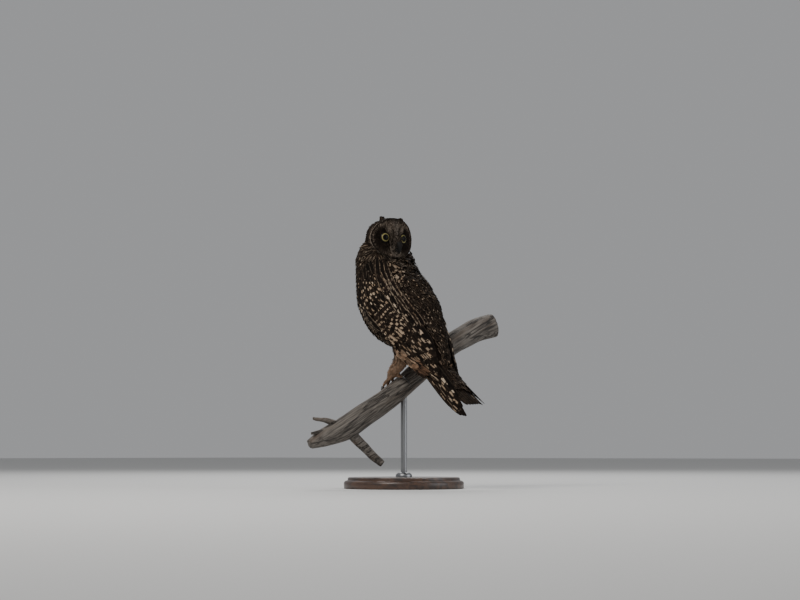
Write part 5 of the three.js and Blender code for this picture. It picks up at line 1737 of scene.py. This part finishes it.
# The cracks are painted near-black along their lines: painted shade inside them, as well as their dents in
# the bump.
wood_colour = wood.blend(wood_colour, (0.015, 0.012, 0.01), crack * 0.85)
dead_wood = wood.done(
    base_color=wood_colour,
    roughness=0.82,
    normal=wood.bump(fibre * 0.7 + broad * 0.6 - crack * 1.3, 0.8, 0.0016),
)
branch_piece = new_piece("dead_branch", branch, dead_wood, "weathered_wood", weld=0.01)
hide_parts("perch_branch")

# %% [markdown]
# The stand is a plain turned disc of dark wood with one steel rod in a collar. A turned piece is a
# profile spun round an axis, which is what the spin operator does.

# %% The stand
def turned(name, profile, finish, slot, node, steps):
    bm = bmesh.new()
    verts = [bm.verts.new((r, 0, z)) for r, z in profile]
    edges = [bm.edges.new(pair_of) for pair_of in zip(verts, verts[1:])]
    bmesh.ops.spin(
        bm, geom=verts + edges, cent=(0, 0, 0), axis=(0, 0, 1), angle=2 * math.pi, steps=steps, use_merge=True
    )
    piece = new_piece(name, bm, finish, slot, weld=0.01)
    piece.data.set_sharp_from_angle(angle=math.radians(35))
    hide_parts(node)


base_wood = Finish("base_wood")
plank = base_wood.node("ShaderNodeMapping", values={"Vector": base_wood.place(), "Scale": (1.0, 0.12, 1.0)})
rings = base_wood.noise(130, 4, 0.55, where=plank, twist=0.6)
pores = base_wood.noise(900, 2, 0.5, where=plank)
base_colour = base_wood.blend((0.022, 0.011, 0.007), (0.085, 0.042, 0.024), rings.rise(0.3, 0.7))
base_colour = base_wood.blend(base_colour, (0.01, 0.006, 0.004), pores.rise(0.62, 0.72) * 0.6)
base_wood.shader.inputs["Coat Weight"].default_value = 0.35
base_wood.shader.inputs["Coat Roughness"].default_value = 0.18
stand_wood = base_wood.done(
    base_color=base_colour, roughness=0.36 + 0.2 * pores, normal=base_wood.bump(pores, 0.2, 0.0003)
)
steel = Finish("steel")
brushed = steel.noise(1500, 2, 0.5)
rod_steel = steel.done(
    base_color=steel.blend((0.22, 0.225, 0.235), (0.36, 0.365, 0.375), brushed),
    metallic=1.0,
    roughness=0.24 + 0.2 * brushed,
)
turned(
    "base",
    [
        (0, 0), (93, 0), (94.4, 0.5), (95, 2), (95, 9), (94.3, 10.8), (92.5, 12.2), (90, 13),
        (88.9, 14), (88.6, 16.8), (87.6, 17.8), (86.5, 18), (0, 18),
    ],
    stand_wood, "stand_wood", "stand_base", 96,
)
turned(
    "collar",
    [
        (5.3, 18.3), (12.6, 18.3), (13, 18.7), (13, 21.4), (12.4, 22.6),
        (9.6, 25), (8.8, 25.3), (5.3, 25.3), (5.3, 18.3),
    ],
    rod_steel, "stand_steel", "stand_collar", 48,
)
rod_top = branch_line.at(branch_line.length_at(0.5))[2]
rod_profile = [(0, 18.3), (4.7, 18.3), (5, 18.6), (5, rod_top), (0, rod_top)]
turned("rod", rod_profile, rod_steel, "stand_steel", "stand_rod", 40)

# %% [markdown]
# Studio light keeps the plumage readable: a large soft key high on one side of the camera, a low fill
# on the other, and a light from behind for the outline. The floor is plain and pale.

# %% The floor and the light
floor_bm = bmesh.new()
bmesh.ops.create_grid(floor_bm, x_segments=2, y_segments=2, size=14000)
pale_floor = Finish("floor")
floor = new_piece(
    "floor", floor_bm, pale_floor.done(base_color=(0.62, 0.62, 0.61), roughness=0.85), None, smooth=False
)
world = bpy.data.worlds.new("studio")
world.use_nodes = True
world.node_tree.nodes["Background"].inputs[0].default_value = (0.83, 0.84, 0.86, 1)
world.node_tree.nodes["Background"].inputs[1].default_value = 0.4
bpy.context.scene.world = world


def area_light(name, azimuth, elevation, distance, size, power, colour=(1, 1, 1)):
    data = bpy.data.lights.new(name, "AREA")
    data.size, data.energy, data.color = size, power, colour
    light = bpy.data.objects.new(name, data)
    a, e = math.radians(azimuth), math.radians(elevation)
    way = Vector((math.sin(a) * math.cos(e), -math.cos(a) * math.cos(e), math.sin(e)))
    light.location = TARGET + way * distance
    light.rotation_euler = way.to_track_quat("Z", "Y").to_euler()
    bpy.context.collection.objects.link(light)


area_light("key", 95, 42, 2.2, 1.1, 34, (1.0, 0.97, 0.93))
area_light("fill", 200, 14, 2.6, 1.6, 18, (0.95, 0.97, 1.0))
area_light("back", 310, 45, 2.4, 1.2, 34)
